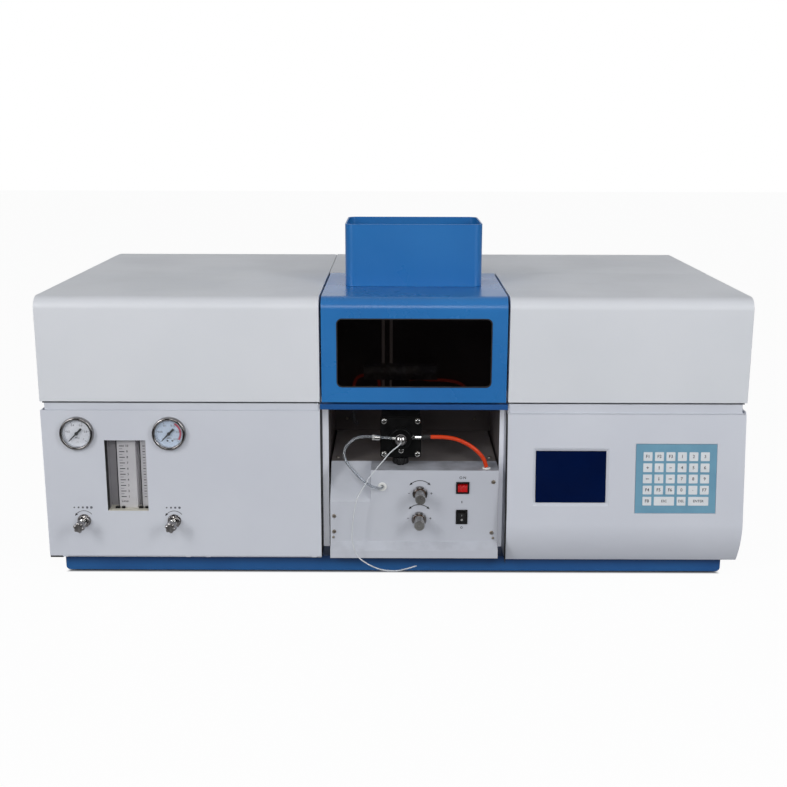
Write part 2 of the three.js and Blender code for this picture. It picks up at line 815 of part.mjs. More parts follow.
// Front cover of the gas box: stepped sheet with a sloping left shoulder and a drip ledge
function gasBoxCover() {
  const outer = join(
    alongX(gasBoxOutline(true, 0, 0), gasBoxLeft, gasBoxRight),
    alongX(gasBoxOutline(false, 0, 0), gasBoxStepX, gasBoxRight),
    ...[gasBoxLeft, gasBoxRight - sheet].map((x) =>
      block(x, x + sheet, gasBoxFoot, gasBoxDepth, cabinetFloor, ledgeTop)));
  const inner = join(
    alongX(gasBoxOutline(true, sheet, gasBoxFoot), gasBoxLeft + sheet, gasBoxRight - sheet),
    alongX(gasBoxOutline(false, sheet, gasBoxFoot), gasBoxStepX + sheet, gasBoxRight - sheet));
  const frontHole = (x, z, radius) => rodY(x, -over, sheet + over, z, radius, smallSteps);
  const frontWindow = (x, z, width, height) =>
    block(x - width / 2, x + width / 2, -over, sheet + over, z - height / 2, z + height / 2);
  const cutouts = [
    frontHole(crossKnobX, crossKnobLevel, adjusterShaft + shaftGap),
    frontHole(heightKnobX, heightKnobLevel, adjusterShaft + shaftGap),
    frontHole(airGrommetX, airGrommetLevel, grommetNeck + seat),
    frontWindow(igniterX, igniterLevel, igniterWidth - switchLip, igniterHeight - switchLip),
    frontWindow(mainsX, mainsLevel, mainsWidth - switchLip, mainsHeight - switchLip),
    rodZ(fuelGrommetX, fuelGrommetDepth, trayLevel - sheet - over, trayLevel + over,
      grommetNeck + seat, smallSteps),
    drainSlot(),
  ];
  piece('gas_box_cover', cut(outer, inner, ...cutouts), paint.cover());
}

// The slot that the drain spigot rides in while the burner moves
function drainSlot() {
  const half = drainSpigot + drainSlotPlay;
  const reach = crossTravel + half;
  return block(chamberX - half, chamberX + half, drainDepth - reach, gasBoxDepth - sheet,
    trayLevel - sheet - over, trayLevel + over);
}

// Blue sill under the hood, an open channel between the two cabinets
function sillRail() {
  const low = sillTop - sillHeight;
  const outline = [
    [0, low], [sillDepth, low], [sillDepth, low + sheet], [sheet, low + sheet],
    [sheet, sillTop - sheet], [sillDepth, sillTop - sheet], [sillDepth, sillTop], [0, sillTop],
  ];
  piece('sill_rail', alongX(outline, leftInner + seat, rightInner - seat), paint.blue());
}

// Left front panel: a folded pan with holes for gauges, flowmeters and valves
function leftFrontPanel() {
  const [x0, x1] = [leftEnd, leftInner];
  const hole = (x, z, radius) => rodY(x, -over, panelFlange + over, z, radius + seat);
  const holes = [
    ...[airGaugeX, fuelGaugeX].map((x) => hole(x, gaugeLevel, gaugeCupRadius)),
    ...[airValveX, fuelValveX].map((x) => hole(x, valveLevel, bonnetNeck)),
  ];
  const face = block(x0, x1, 0, panelSheet, panelBottom, panelTop);
  const inset = sheet + seat;
  const low = Math.max(panelBottom, cabinetFloor + sheet + seat);
  const high = deckLevel - sheet - seat;
  const flange = cut(
    block(x0 + inset, x1 - inset, panelSheet / 2, panelFlange, low, high),
    block(x0 + inset * 2, x1 - inset * 2, -over, panelFlange + over, low + sheet, high - sheet));
  const [w0, w1] = [flowWindowX - flowWindowWidth / 2, flowWindowX + flowWindowWidth / 2];
  const [low1, high1] = [flowWindowBottom, flowWindowBottom + flowWindowHeight];
  const well = block(w0 - sheet, w1 + sheet, panelSheet / 2, flowSetback - seat, low1 - sheet, high1 + sheet);
  const window = block(w0, w1, -over, flowSetback + over, low1, high1);
  piece('left_front_panel', cut(join(face, flange, well), window, ...holes), paint.panel());
}

// Depth and height outline of the console: leaning face, then a long roll under
function consoleOutline(inset) {
  const reach = inset > 0 ? over : 0;
  const start = new THREE.Vector2(inset - consoleLean, consoleRollTop);
  const pull = new THREE.Vector2(inset - consoleLean - rollBulge, consoleRollTop - rollPull);
  const end = new THREE.Vector2(inset, consoleRollBottom + inset * 2);
  const roll = new THREE.QuadraticBezierCurve(start, pull, end).getPoints(rollSteps).map((p) => [p.x, p.y]);
  const foot = inset > 0 ? [] : [[panelSheet, consoleBottom]];
  return [
    [panelSheet + reach, consoleTop - inset], [inset, consoleTop - inset], ...roll, ...foot,
    ...(inset > 0 ? [[panelSheet + reach, consoleRollBottom + inset * 2]] : []),
  ];
}

// A tool or piece drawn on the leaning face: u to the right, s down from the top edge
const consoleFace = new THREE.Group();
consoleFace.rotation.x = consoleTilt;
consoleFace.position.z = consoleTop;
consoleFace.updateMatrix();
spectrometer.add(consoleFace);

function controlConsole() {
  const shell = cut(
    alongX(consoleOutline(0), rightInner, rightEnd),
    alongX(consoleOutline(consoleWall), rightInner + consoleWall, rightEnd - consoleWall));
  const onFace = (geometry) => geometry.applyMatrix4(consoleFace.matrix);
  const displayPad = onFace(slab(displayX, displayDrop, displayWidth + displayRecess * 4,
    displayHeight + displayRecess * 4, consoleWall / 2, displayRecessDepth + consoleWall));
  const bevel = onFace(taperedWindow(displayX, displayDrop, displayWidth, displayHeight,
    displayRecess, displayRecessDepth));
  const opening = onFace(slab(displayX, displayDrop, displayWidth, displayHeight,
    -over, displayRecessDepth + consoleWall + over));
  const keyPad = onFace(slab(keypadX, keypadDrop, keypadWidth + keypadRecessDepth * 4,
    keypadHeight + keypadRecessDepth * 4, consoleWall / 2, keypadRecessDepth + consoleWall));
  const keyRecess = onFace(slab(keypadX, keypadDrop, keypadWidth + keypadGap * 2,
    keypadHeight + keypadGap * 2, -over, keypadRecessDepth));
  piece('control_console', cut(join(shell, displayPad, keyPad), bevel, opening, keyRecess), paint.panel());
}

// A slab in the leaning face's own frame, from depth a to depth b behind the surface
function slab(x, drop, width, height, a, b) {
  return block(x - width / 2, x + width / 2, a, b, -drop - height / 2, -drop + height / 2);
}

// A window whose sides slope in from the surface down to its depth
function taperedWindow(x, drop, width, height, margin, depth) {
  const slope = margin / depth;
  const half = (grow) => [width / 2 + grow, height / 2 + grow];
  const front = half(margin + over * slope);
  const back = half(0);
  const corner = (reach, y) => [[-1, -1], [1, -1], [1, 1], [-1, 1]].map(([u, v]) =>
    [x + u * reach[0], y, -drop + v * reach[1]]);
  const points = [...corner(front, -over), ...corner(back, depth)];
  const faces = [0, 1, 2, 0, 2, 3, 4, 6, 5, 4, 7, 6];
  for (let i = 0; i < 4; i += 1) {
    const j = (i + 1) % 4;
    faces.push(i, i + 4, j + 4, i, j + 4, j);
  }
  const geometry = new THREE.BufferGeometry();
  geometry.setAttribute('position', new THREE.Float32BufferAttribute(points.flat(), 3));
  geometry.setIndex(faces);
  return geometry;
}

// Display behind the console's bevelled window, and the keypad film in its recess
function consoleFittings() {
  const back = displayRecessDepth + consoleWall + seat;
  const module = slab(displayX, displayDrop, displayWidth + displayRecess * 2,
    displayHeight + displayRecess * 2, back, back + displayThickness);
  const screen = slab(displayX, displayDrop, displayWidth - displayGap * 2, displayHeight - displayGap * 2,
    displayRecessDepth, back + over);
  piece('display_module', join(module, screen), finish('#0a1738', 0.25), consoleFace);
  const film = slab(keypadX, keypadDrop, keypadWidth, keypadHeight,
    keypadRecessDepth - seat - keypadThickness, keypadRecessDepth - seat);
  const surface = keypadRecessDepth - seat - keypadThickness;
  piece('keypad_overlay', join(film, ...keys(surface)), finish('#679fbd', 0.5), consoleFace);
}

// Raised pads of the keypad: the bottom row has two double keys
function keys(surface) {
  const pads = [];
  const left = keypadX - ((keyColumns - 1) * keyPitchX) / 2;
  const top = keypadDrop - ((keyRows - 1) * keyPitchZ) / 2;
  for (let row = 0; row < keyRows; row += 1) {
    const last = row === keyRows - 1;
    for (let column = 0; column < keyColumns; column += 1) {
      const double = last && (column === 1 || column === keyColumns - 2);
      const covered = last && (column === 2 || column === keyColumns - 1);
      if (covered) continue;
      const width = double ? keySize + keyPitchX : keySize;
      const place = left + column * keyPitchX + (double ? keyPitchX / 2 : 0);
      pads.push(slab(place, top + row * keyPitchZ, width, keySize, surface - keyRise, surface + keyRise));
    }
  }
  return pads;
}

// Outline of a cover from its lower front edge over the bend to its rear edge
function coverOutline(inset, back) {
  const reach = inset > 0 ? over : 0;
  const points = [[back + reach, coverBottom - reach], [inset, coverBottom - reach]];
  const radius = bendRadius - inset;
  for (let i = 0; i <= bendSteps && radius > 0; i += 1) {
    const angle = Math.PI - (i / bendSteps) * (Math.PI / 2);
    points.push([bendRadius + radius * Math.cos(angle), caseTop - bendRadius + radius * Math.sin(angle)]);
  }
  if (radius <= 0) points.push([inset, caseTop - inset]);
  points.push([back + reach, caseTop - inset]);
  return points.reverse();
}

// A bent cover: front, top and two sides, each side a full wall or a narrow rim
function coverShell(x0, x1, back, leftWall, rightWall) {
  const shell = cut(
    alongX(coverOutline(0, back), x0, x1),
    alongX(coverOutline(sheet, back), x0 + sheet, x1 - sheet));
  const openings = [];
  if (!leftWall) openings.push(alongX(coverOutline(rim, back), x0 - over, x0 + sheet + over));
  if (!rightWall) openings.push(alongX(coverOutline(rim, back), x1 - sheet - over, x1 + over));
  return cut(shell, ...openings);
}

function covers() {
  const rearLid = rearHingeDepth - barrelRadius - barrelGap;
  piece('lamp_cover', coverShell(leftEnd, leftInner, rearLid, true, false), paint.cover());
  piece('monochromator_cover', coverShell(rightInner, rightEnd, frontLidDepth, false, true), paint.cover());
  const x0 = leftInner + rearSeamGap;
  const y0 = frontHingeDepth;
  const shell = cut(
    block(x0, rightEnd, y0, caseDepth, coverBottom, caseTop),
    block(x0 + sheet, rightEnd - sheet, y0 - over, caseDepth - sheet, coverBottom - over, caseTop - sheet),
    block(x0 - over, x0 + sheet + over, y0 - over, caseDepth - rim, coverBottom - over, caseTop - rim));
  const barrel = rodX(hoodLeft, rightEnd, frontHingeDepth, barrelLevel, barrelRadius, smallSteps);
  piece('rear_top_cover', join(shell, barrel), paint.cover());
}

// Flame hood with its window and the chimney that stands on it
function hood() {
  const windowLevel = windowBottom + windowHeight / 2;
  const windowShape = roundedBox(bayCentre, windowLevel, windowWidth, windowHeight, windowCorner);
  const chimneyY = chimneyFront + chimneyDepth / 2;
  const boreShape = (grow) => roundedBox(bayCentre, chimneyY, chimneyWidth - chimneyWall * 2 + grow * 2,
    chimneyDepth - chimneyWall * 2 + grow * 2, chimneyCorner - chimneyWall + grow);
  const shell = cut(
    coverShell(hoodLeft, hoodRight, frontLidDepth, false, false),
    alongY(windowShape, -over, sheet + over),
    alongZ(boreShape(0), caseTop - sheet - over, caseTop + over));
  piece('flame_hood', shell, paint.blue());

  const pane = roundedBox(bayCentre, windowLevel, windowWidth + windowLap * 2,
    windowHeight + windowLap * 2, windowCorner);
  piece('hood_window', alongY(pane, sheet + seat, sheet + seat + paneThickness), finish('#1a0d08', 0.12));

  const tube = alongZ(roundedBox(bayCentre, chimneyY, chimneyWidth, chimneyDepth, chimneyCorner),
    caseTop + seat, caseTop + chimneyHeight);
  const collar = alongZ(boreShape(-collarGap), caseTop - collarDrop, caseTop + chimneyHeight / 2);
  const bore = alongZ(boreShape(-collarGap - chimneyWall), caseTop - collarDrop - over,
    caseTop + chimneyHeight + over);
  const upperBore = alongZ(boreShape(0), caseTop + collarDrop, caseTop + chimneyHeight + over);
  piece('chimney', cut(join(tube, collar), bore, upperBore), paint.blue());
}

// A round pressure gauge and its pointer
function gauge(name, x) {
  const back = panelSheet + gaugeCupDepth;
  const profile = [
    [0, -dialReach], [bezelInner, -dialReach], [bezelInner, -bezelReach],
    [bezelRadius - sheet, -bezelReach], [bezelRadius, -bezelReach + sheet], [bezelRadius, -seat],
    [gaugeCupRadius, -seat], [gaugeCupRadius, back], [gaugeStemRadius, back],
    [gaugeStemRadius, back + gaugeStemReach], [0, back + gaugeStemReach],
  ];
  piece(name, turned(profile, 'y', x, 0, gaugeLevel), chrome());
  const group = new THREE.Group();
  group.position.set(x, -dialReach - seat, gaugeLevel);
  group.rotation.y = -pointerRest;
  spectrometer.add(group);
  const blade = alongY([
    [-pointerTip, -pointerTipHalf], [pointerTail, -pointerTailHalf],
    [pointerTail, pointerTailHalf], [-pointerTip, pointerTipHalf],
  ], -pointerThickness, 0);
  const hub = alongY(circle(0, 0, pointerHub, smallSteps), -pointerThickness * 2, 0);
  piece(`${name}_pointer`, join(blade, hub), finish('#101012', 0.5), group);
}

// A clear flowmeter block with its bore, and the float that rides in it
function flowmeter(name, x) {
  const low = flowWindowBottom - flowBlockLap;
  const high = flowWindowBottom + flowWindowHeight + flowBlockLap;
  const depth = flowSetback + flowBlockDepth / 2;
  const body = block(x - flowBlockWidth / 2, x + flowBlockWidth / 2,
    flowSetback, flowSetback + flowBlockDepth, low, high);
  const bore = rodZ(x, depth, flowWindowBottom, high + over, flowBoreRadius, smallSteps);
  piece(`${name}_flowmeter`, cut(body, bore), finish('#cfd6d6', 0.12));
  const bottom = flowWindowBottom + floatRest;
  const float = turned([
    [0, 0], [floatRadius / 2, floatRadius / 2], [floatRadius, floatHeight - floatRadius / 2],
    [floatRadius, floatHeight], [0, floatHeight],
  ], 'z', x, depth, bottom, smallSteps);
  piece(`${name}_float`, float, finish('#20201f', 0.4, 0.6));
}

// A needle valve: bonnet through the panel, and the fluted knob on its stem
function needleValve(name, x) {
  const back = panelSheet + seat;
  const profile = [
    [valveStem + valveStemGap, -bonnetReach], [bonnetRadius, -bonnetReach], [bonnetRadius, -seat],
    [bonnetNeck, -seat], [bonnetNeck, back],
    [valveBodyRadius, back], [valveBodyRadius, back + valveBodyDepth],
    [valveStem + valveStemGap, back + valveBodyDepth], [valveStem + valveStemGap, -bonnetReach],
  ];
  piece(`${name}_valve_bonnet`, turned(profile, 'y', x, 0, valveLevel, smallSteps), chrome());
  const knobBack = valveKnobLength - valveReach;
  const outline = fluted(x, valveLevel, valveKnobRadius, valveKnobRadius / valveFlutes, valveFlutes);
  const knob = alongY(outline, -valveReach, knobBack);
  const sleeve = rodY(x, knobBack - over, -bonnetReach - seat, valveLevel, valveSleeve, smallSteps);
  const stem = rodY(x, knobBack - over, panelSheet + valveBodyDepth / 2, valveLevel, valveStem, smallSteps);
  piece(`${name}_valve_knob`, join(knob, sleeve, stem), chrome());
}

// Nut of a burner adjuster, round with notches, with a bore for the shaft
function adjusterNut(name, x, z) {
  const notches = Array.from({ length: adjusterNotches }, (_, i) => {
    const notch = block(adjusterNutRadius - notchDepth, adjusterNutRadius + over,
      -adjusterNutThickness - over, over, -notchWidth / 2, notchWidth / 2);
    return notch.rotateY(Math.PI / 4 + (i / adjusterNotches) * Math.PI * 2).translate(x, 0, z);
  });
  const nut = rodY(x, -adjusterNutThickness, -seat, z, adjusterNutRadius);
  const bore = rodY(x, -adjusterNutThickness - over, over, z, adjusterShaft + shaftGap, smallSteps);
  piece(name, cut(nut, bore, ...notches), chrome());
}

function adjusterKnob(x, z, shaftReach) {
  const back = adjusterLength - adjusterReach;
  const knob = rodY(x, -adjusterReach, back, z, adjusterRadius);
  const shaft = rodY(x, back - over, shaftReach, z, adjusterShaft, smallSteps);
  return join(knob, shaft);
}

// Outline of the pinion: involute flanks, a tooth pointing at the rack at rest
function pinionOutline() {
  const base = pitchRadius * Math.cos(pressureAngle);
  const root = pitchRadius - gearModule * gearDedendumShare;
  const tip = pitchRadius + gearModule * gearAddendumShare;
  const spread = (angle) => Math.tan(angle) - angle;
  const halfAngle = (radius) => {
    const at = Math.acos(Math.min(base / Math.max(radius, base), 1));
    return Math.PI / (2 * gearTeeth) - gearPlay / (2 * pitchRadius) + spread(pressureAngle) - spread(at);
  };
  const radii = [root, base, pitchRadius, (pitchRadius + tip) / 2, tip];
  const points = [];
  for (let tooth = 0; tooth < gearTeeth; tooth += 1) {
    const middle = Math.PI + (tooth / gearTeeth) * Math.PI * 2;
    radii.forEach((r) => points.push([middle - halfAngle(r), r]));
    [...radii].reverse().forEach((r) => points.push([middle + halfAngle(r), r]));
  }
  return points.map(([angle, r]) =>
    [heightKnobX + r * Math.cos(angle), heightKnobLevel + r * Math.sin(angle)]);
}

// Column with the rack: it carries the chamber in a saddle and slides in the guide
function liftColumn() {
  const pitch = Math.PI * gearModule;
  const flank = Math.tan(pressureAngle);
  const half = pitch / 4 - gearPlay / 2;
  const bodySide = rackRoot;
  const body = block(columnLeft, bodySide, columnFront, columnFront + columnDepth, columnBottom, saddleRise);
  const teeth = Array.from({ length: rackTeeth }, (_, i) => {
    const middle = heightKnobLevel + (rackTeethAbove + 1 - rackTeeth + i) * pitch;
    const wide = half + (pitchLine - rackRoot) * flank;
    const narrow = half - (rackTip - pitchLine) * flank;
    return alongY([
      [bodySide - over, middle - wide], [bodySide, middle - wide], [rackTip, middle - narrow],
      [rackTip, middle + narrow], [bodySide, middle + wide], [bodySide - over, middle + wide],
    ], columnFront, columnFront + columnDepth);
  });
  const saddle = rodY(chamberX, columnFront - over, columnFront + columnDepth + over, chamberLevel,
    chamberRadius + seat);
  piece('lift_column', cut(join(body, ...teeth), saddle), steel());
}

// Guide block under the tray: the column slides up through it, the screw moves it
function crossCarriage() {
  const high = trayLevel - sheet - seat;
  const [y0, y1] = [columnFront - guideMargin, columnFront + columnDepth + guideMargin];
  const body = block(columnLeft - guideMargin, crossKnobX + screwMargin, y0, y1, guideBottom, high);
  const guide = block(columnLeft - guideGap, rackTip + guideGap, columnFront - guideGap,
    columnFront + columnDepth + guideGap, guideBottom - over, high + over);
  const screw = rodY(crossKnobX, y0 - over, y1 + over, crossKnobLevel, adjusterShaft + shaftGap, smallSteps);
  piece('cross_carriage', cut(body, guide, screw), steel());
}

function adjusters() {
  adjusterNut('cross_nut', crossKnobX, crossKnobLevel);
  adjusterNut('height_nut', heightKnobX, heightKnobLevel);
  piece('cross_knob', adjusterKnob(crossKnobX, crossKnobLevel, crossShaftReach), steel());
  const pinion = alongY(pinionOutline(), pinionFront, pinionFront + pinionWidth);
  piece('height_knob', join(adjusterKnob(heightKnobX, heightKnobLevel, heightShaftReach), pinion), steel());
  crossCarriage();
  liftColumn();
}

// A rocker switch: frame in the cover, and the rocker that tilts in it
function rockerSwitch(name, x, z, width, height, color) {
  const inner = switchFrame;
  const frame = cut(
    join(
      block(x - width / 2, x + width / 2, -switchLip, -seat, z - height / 2, z + height / 2),
      block(x - width / 2 + inner / 2, x + width / 2 - inner / 2, -switchLip / 2, switchDepth,
        z - height / 2 + inner / 2, z + height / 2 - inner / 2)),
    block(x - width / 2 + inner, x + width / 2 - inner, -switchLip - over, switchDepth - switchLip,
      z - height / 2 + inner, z + height / 2 - inner));
  piece(`${name}_switch_frame`, frame, black());
  const half = height / 2 - inner - rockerPlay;
  const group = new THREE.Group();
  group.position.set(x, rockerPivot, z);
  group.rotation.x = rockerTilt;
  spectrometer.add(group);
  const outline = [
    [-rockerPivot - rockerReach, -half], [-rockerPivot - rockerValley, 0], [-rockerPivot - rockerReach, half],
    [0, half], [rockerBack, half / 2], [rockerBack, -half / 2], [0, -half],
  ];
  piece(`${name}_rocker`, alongX(outline, -width / 2 + inner + seat, width / 2 - inner - seat),
    finish(color, 0.35), group);
}

function grommets() {
  const profile = [
    [airHoseRadius + seat, -grommetLip], [grommetRadius - seat, -grommetLip], [grommetRadius, -seat],
    [grommetNeck, -seat], [grommetNeck, sheet + seat], [grommetRadius, sheet + seat],
    [grommetRadius, sheet + grommetBack], [airHoseRadius + seat, sheet + grommetBack],
    [airHoseRadius + seat, -grommetLip],
  ];
  piece('air_grommet', turned(profile, 'y', airGrommetX, 0, airGrommetLevel, smallSteps), white());
  const bore = (r) => (r === airHoseRadius + seat ? fuelHoseRadius + seat : r);
  const upright = profile.map(([r, a]) => [bore(r), -a]).reverse();
  piece('fuel_grommet', turned(upright, 'z', fuelGrommetX, fuelGrommetDepth, trayLevel, smallSteps), white());
}

// Spray chamber with its square face, the yoke behind it, round boss and the neck under the burner head
function sprayChamber() {
  const faceBack = faceDepth + faceThickness;
  const square = roundedBox(chamberX, chamberLevel, faceSize, faceSize, faceCorner);
  const plate = alongY(square, faceDepth, faceBack);
  const boss = rodY(chamberX, faceDepth - bossReach, faceDepth + over, chamberLevel, bossRadius);
  const body = rodY(chamberX, faceBack - over, faceDepth + chamberLength, chamberLevel, chamberRadius);
  const neck = rodZ(chamberX, beamDepth, chamberLevel, neckTop, neckRadius, smallSteps);
  const drain = rodZ(chamberX, drainDepth, drainNutBottom + drainNutHeight + seat, chamberLevel,
    drainNeck, smallSteps);
  const yoke = block(chamberX - faceSize / 2 + yokeMargin, chamberX + faceSize / 2 - yokeMargin,
    faceDepth + yokeSetback, faceDepth + yokeSetback + yokeDepth, chamberLevel, neckTop - yokeDrop);
  piece('spray_chamber', join(plate, boss, body, yoke, neck, drain), black());
}

function nebuliser() {
  const front = faceDepth - bossReach - seat;
  const profile = [
    [0, front], [nebuliserRadius, front], [nebuliserRadius, front - nebuliserRing],
    [nebuliserBody, front - nebuliserRing], [nebuliserBody, front - nebuliserRing - nebuliserBodyLength],
    [nebuliserTip, front - nebuliserRing - nebuliserBodyLength],
    [nebuliserTip, front - nebuliserRing - nebuliserBodyLength - nebuliserTipLength],
    [0, front - nebuliserRing - nebuliserBodyLength - nebuliserTipLength],
  ];
  const middle = front - nebuliserRing / 2;
  const port = rodX(chamberX - nebuliserRadius - portReach, chamberX, middle, chamberLevel + portRise,
    portRadius - seat, smallSteps);
  piece('nebuliser', join(turned(profile, 'y', chamberX, 0, chamberLevel), port), chrome());
}

// Hose barb for the fuel gas, screwed into the side of the boss
function fuelBarb() {
  const start = chamberX + bossRadius;
  const ridge = barbReach / 4;
  const profile = [[barbBore, 0], [barbRadius + sheet / 2, 0], [barbRadius + sheet / 2, ridge]];
  for (let i = 1; i < 4; i += 1) {
    profile.push([barbRadius - sheet / 2, ridge * i], [barbRadius, ridge * i + ridge / 4]);
    profile.push([barbRadius - sheet / 2, ridge * (i + 1)]);
  }
  profile.push([barbBore, barbReach], [barbBore, 0]);
  const level = chamberLevel + barbRise;
  piece('fuel_barb', turned(profile, 'x', start + seat, barbDepth, level, fittingSteps), chrome());
}

function drainNut() {
  const high = drainNutBottom + drainNutHeight;
  const outline = fluted(chamberX, drainDepth, drainNutRadius, drainNutRadius / drainFlutes, drainFlutes);
  const nut = alongZ(outline, drainNutBottom, high);
  const spigot = rodZ(chamberX, drainDepth, drainNutBottom - drainSpigotReach, drainNutBottom + over,
    drainSpigot, smallSteps);
  piece('drain_nut', join(nut, spigot), black());
}

// Burner head: a long block that narrows upwards, with the flame slot along its top
function burnerHead() {
  const low = neckTop + seat;
  const high = low + headHeight;
  const section = [
    [beamDepth - headDepth / 2, low], [beamDepth + headDepth / 2, low],
    [beamDepth + headDepth / 2, low + headHeight / 2], [beamDepth + headTopDepth / 2, high],
    [beamDepth - headTopDepth / 2, high],
    [beamDepth - headDepth / 2, low + headHeight / 2],
  ];
  const slot = block(chamberX - slotLength / 2, chamberX + slotLength / 2,
    beamDepth - slotWidth / 2, beamDepth + slotWidth / 2, high - slotDepth, high + over);
  piece('burner_head', cut(alongX(section, chamberX - headLength / 2, chamberX + headLength / 2), slot),
    finish('#9a958d', 0.4, 0.9));
}

function hoses() {
  // Heights of a route between those of its two ends
  const between = (route, start, end) => {
    const [first, last] = [route[0][2], route[route.length - 1][2]];
    return (z) => end + ((z - last) * (start - end)) / (first - last);
  };
  const airHeight = between(airHoseRoute, chamberLevel + portRise, airGrommetLevel);
  const fuelHeight = between(fuelHoseRoute, chamberLevel + barbRise, trayLevel + grommetLip + seat);
  const rise = chamberLevel / capillaryRoute[0][2];
  const reach = (fuelGrommetX - barbTip) / fuelHoseRoute[fuelHoseRoute.length - 1][0];
  const airPoints = airHoseRoute.map(([x, y, z]) => [chamberX + x, y, airHeight(z)]);
  const fuelPoints = fuelHoseRoute.map(([x, y, z]) => [barbTip + x * reach, y, fuelHeight(z)]);
  const finePoints = capillaryRoute.map(([x, y, z]) => [chamberX + x, y, z * rise]);
  piece('air_hose', hose(airPoints, airHoseRadius, airHoseSteps), finish('#c9cfd2', 0.25));
  piece('fuel_hose', hose(fuelPoints, fuelHoseRadius, fuelHoseSteps), finish('#d8451c', 0.45));
  piece('sample_capillary', hose(finePoints, capillaryRadius, capillarySteps), finish('#e8ebee', 0.35));
}

// Lamp turret: two plates on a shaft along the beam, with a round of lamp places
function turretPlace(index) {
  const angle = Math.PI * 1.5 + (index / lampPlaces) * Math.PI * 2;
  return [beamDepth + lampCircle * Math.cos(angle), turretLevel + lampCircle * Math.sin(angle)];
}

function lampTurret() {
  const frontPlate = turretFront + lampBaseLength + turretPlateSpacing - turretPlate;
  const bore = [frontPlate - over, frontPlate + turretPlate + over];
  const sockets = Array.from({ length: lampPlaces }, (_, i) =>
    rodX(...bore, ...turretPlace(i), lampRadius + bearingGap, smallSteps));
  const disc = (x) => rodX(x, x + turretPlate, beamDepth, turretLevel, turretRadius);
  const shaft = rodX(turretFront - turretPlate - turretTail, frontPlate + turretPlate + turretTail / 2,
    beamDepth, turretLevel, turretShaft, smallSteps);
  const body = join(disc(turretFront - turretPlate), disc(frontPlate), shaft);
  piece('lamp_turret', cut(body, ...sockets), finish('#3a3b3f', 0.4, 0.6));
  ['lamp_one', 'lamp_two'].forEach((name, i) => {
    const [y, z] = turretPlace(i);
    const start = turretFront + seat;
    const profile = [
      [0, 0], [lampBaseRadius, 0], [lampBaseRadius, lampBaseLength], [lampRadius, lampBaseLength],
      [lampRadius, lampBaseLength + lampLength - seat], [0, lampBaseLength + lampLength - seat],
    ];
    piece(name, turned(profile, 'x', start, y, z, smallSteps), finish('#d7dcd8', 0.15));
  });
}

// Lens tubes in the two walls of the bay
function lensTube(name, wall, side, reach) {
  const profile = [
    [lensTubeRadius - lensTubeWall, -sheet], [lensTubeRadius, -sheet], [lensTubeRadius, seat],
    [lensFlangeRadius, seat], [lensFlangeRadius, seat + lensFlangeThickness],
    [lensTubeRadius, seat + lensFlangeThickness], [lensTubeRadius, reach],
    [lensTubeRadius - lensTubeWall, reach], [lensTubeRadius - lensTubeWall, -sheet],
  ].map(([r, a]) => [r, a * side]);
  if (side < 0) profile.reverse();
  piece(name, turned(profile, 'x', wall, beamDepth, beamLevel), finish('#a9acb0', 0.4, 0.9));
}

function monochromator() {
  const x0 = bayRight + sheet + rightTubeReach + seat;
  const x1 = x0 + monoWidth;
  const y0 = monoFront;
  const y1 = y0 + monoDepth;
  const low = deckLevel + seat;
  const high = low + monoHeight;
  const parts = [
    block(x0 + monoFlange, x1 - monoFlange, y0 + monoFlange, y1 - monoFlange, low, high),
    block(x0, x1, y0, y1, low, low + monoLid),
    block(x0, x1, y0, y1, high - monoLid, high),
    rodX(x0, x0 + monoFlange + over, beamDepth, beamLevel, lensTubeRadius),
    rodZ(x1 - monoFlange * 5, y0 + monoFlange * 5, high - over, high + detectorHeight, detectorRadius),
  ];
  for (let i = 0; i < monoRibs; i += 1) {
    const y = y0 + ((i + 1) * monoDepth) / (monoRibs + 1);
    if (Math.abs(y - beamDepth) > lensTubeRadius + monoRibThickness) {
      parts.push(block(x0 + monoRibThickness, x1 - monoRibThickness, y, y + monoRibThickness, low, high));
    }
  }
  piece('monochromator', join(...parts), finish('#55585c', 0.55, 0.5));
}

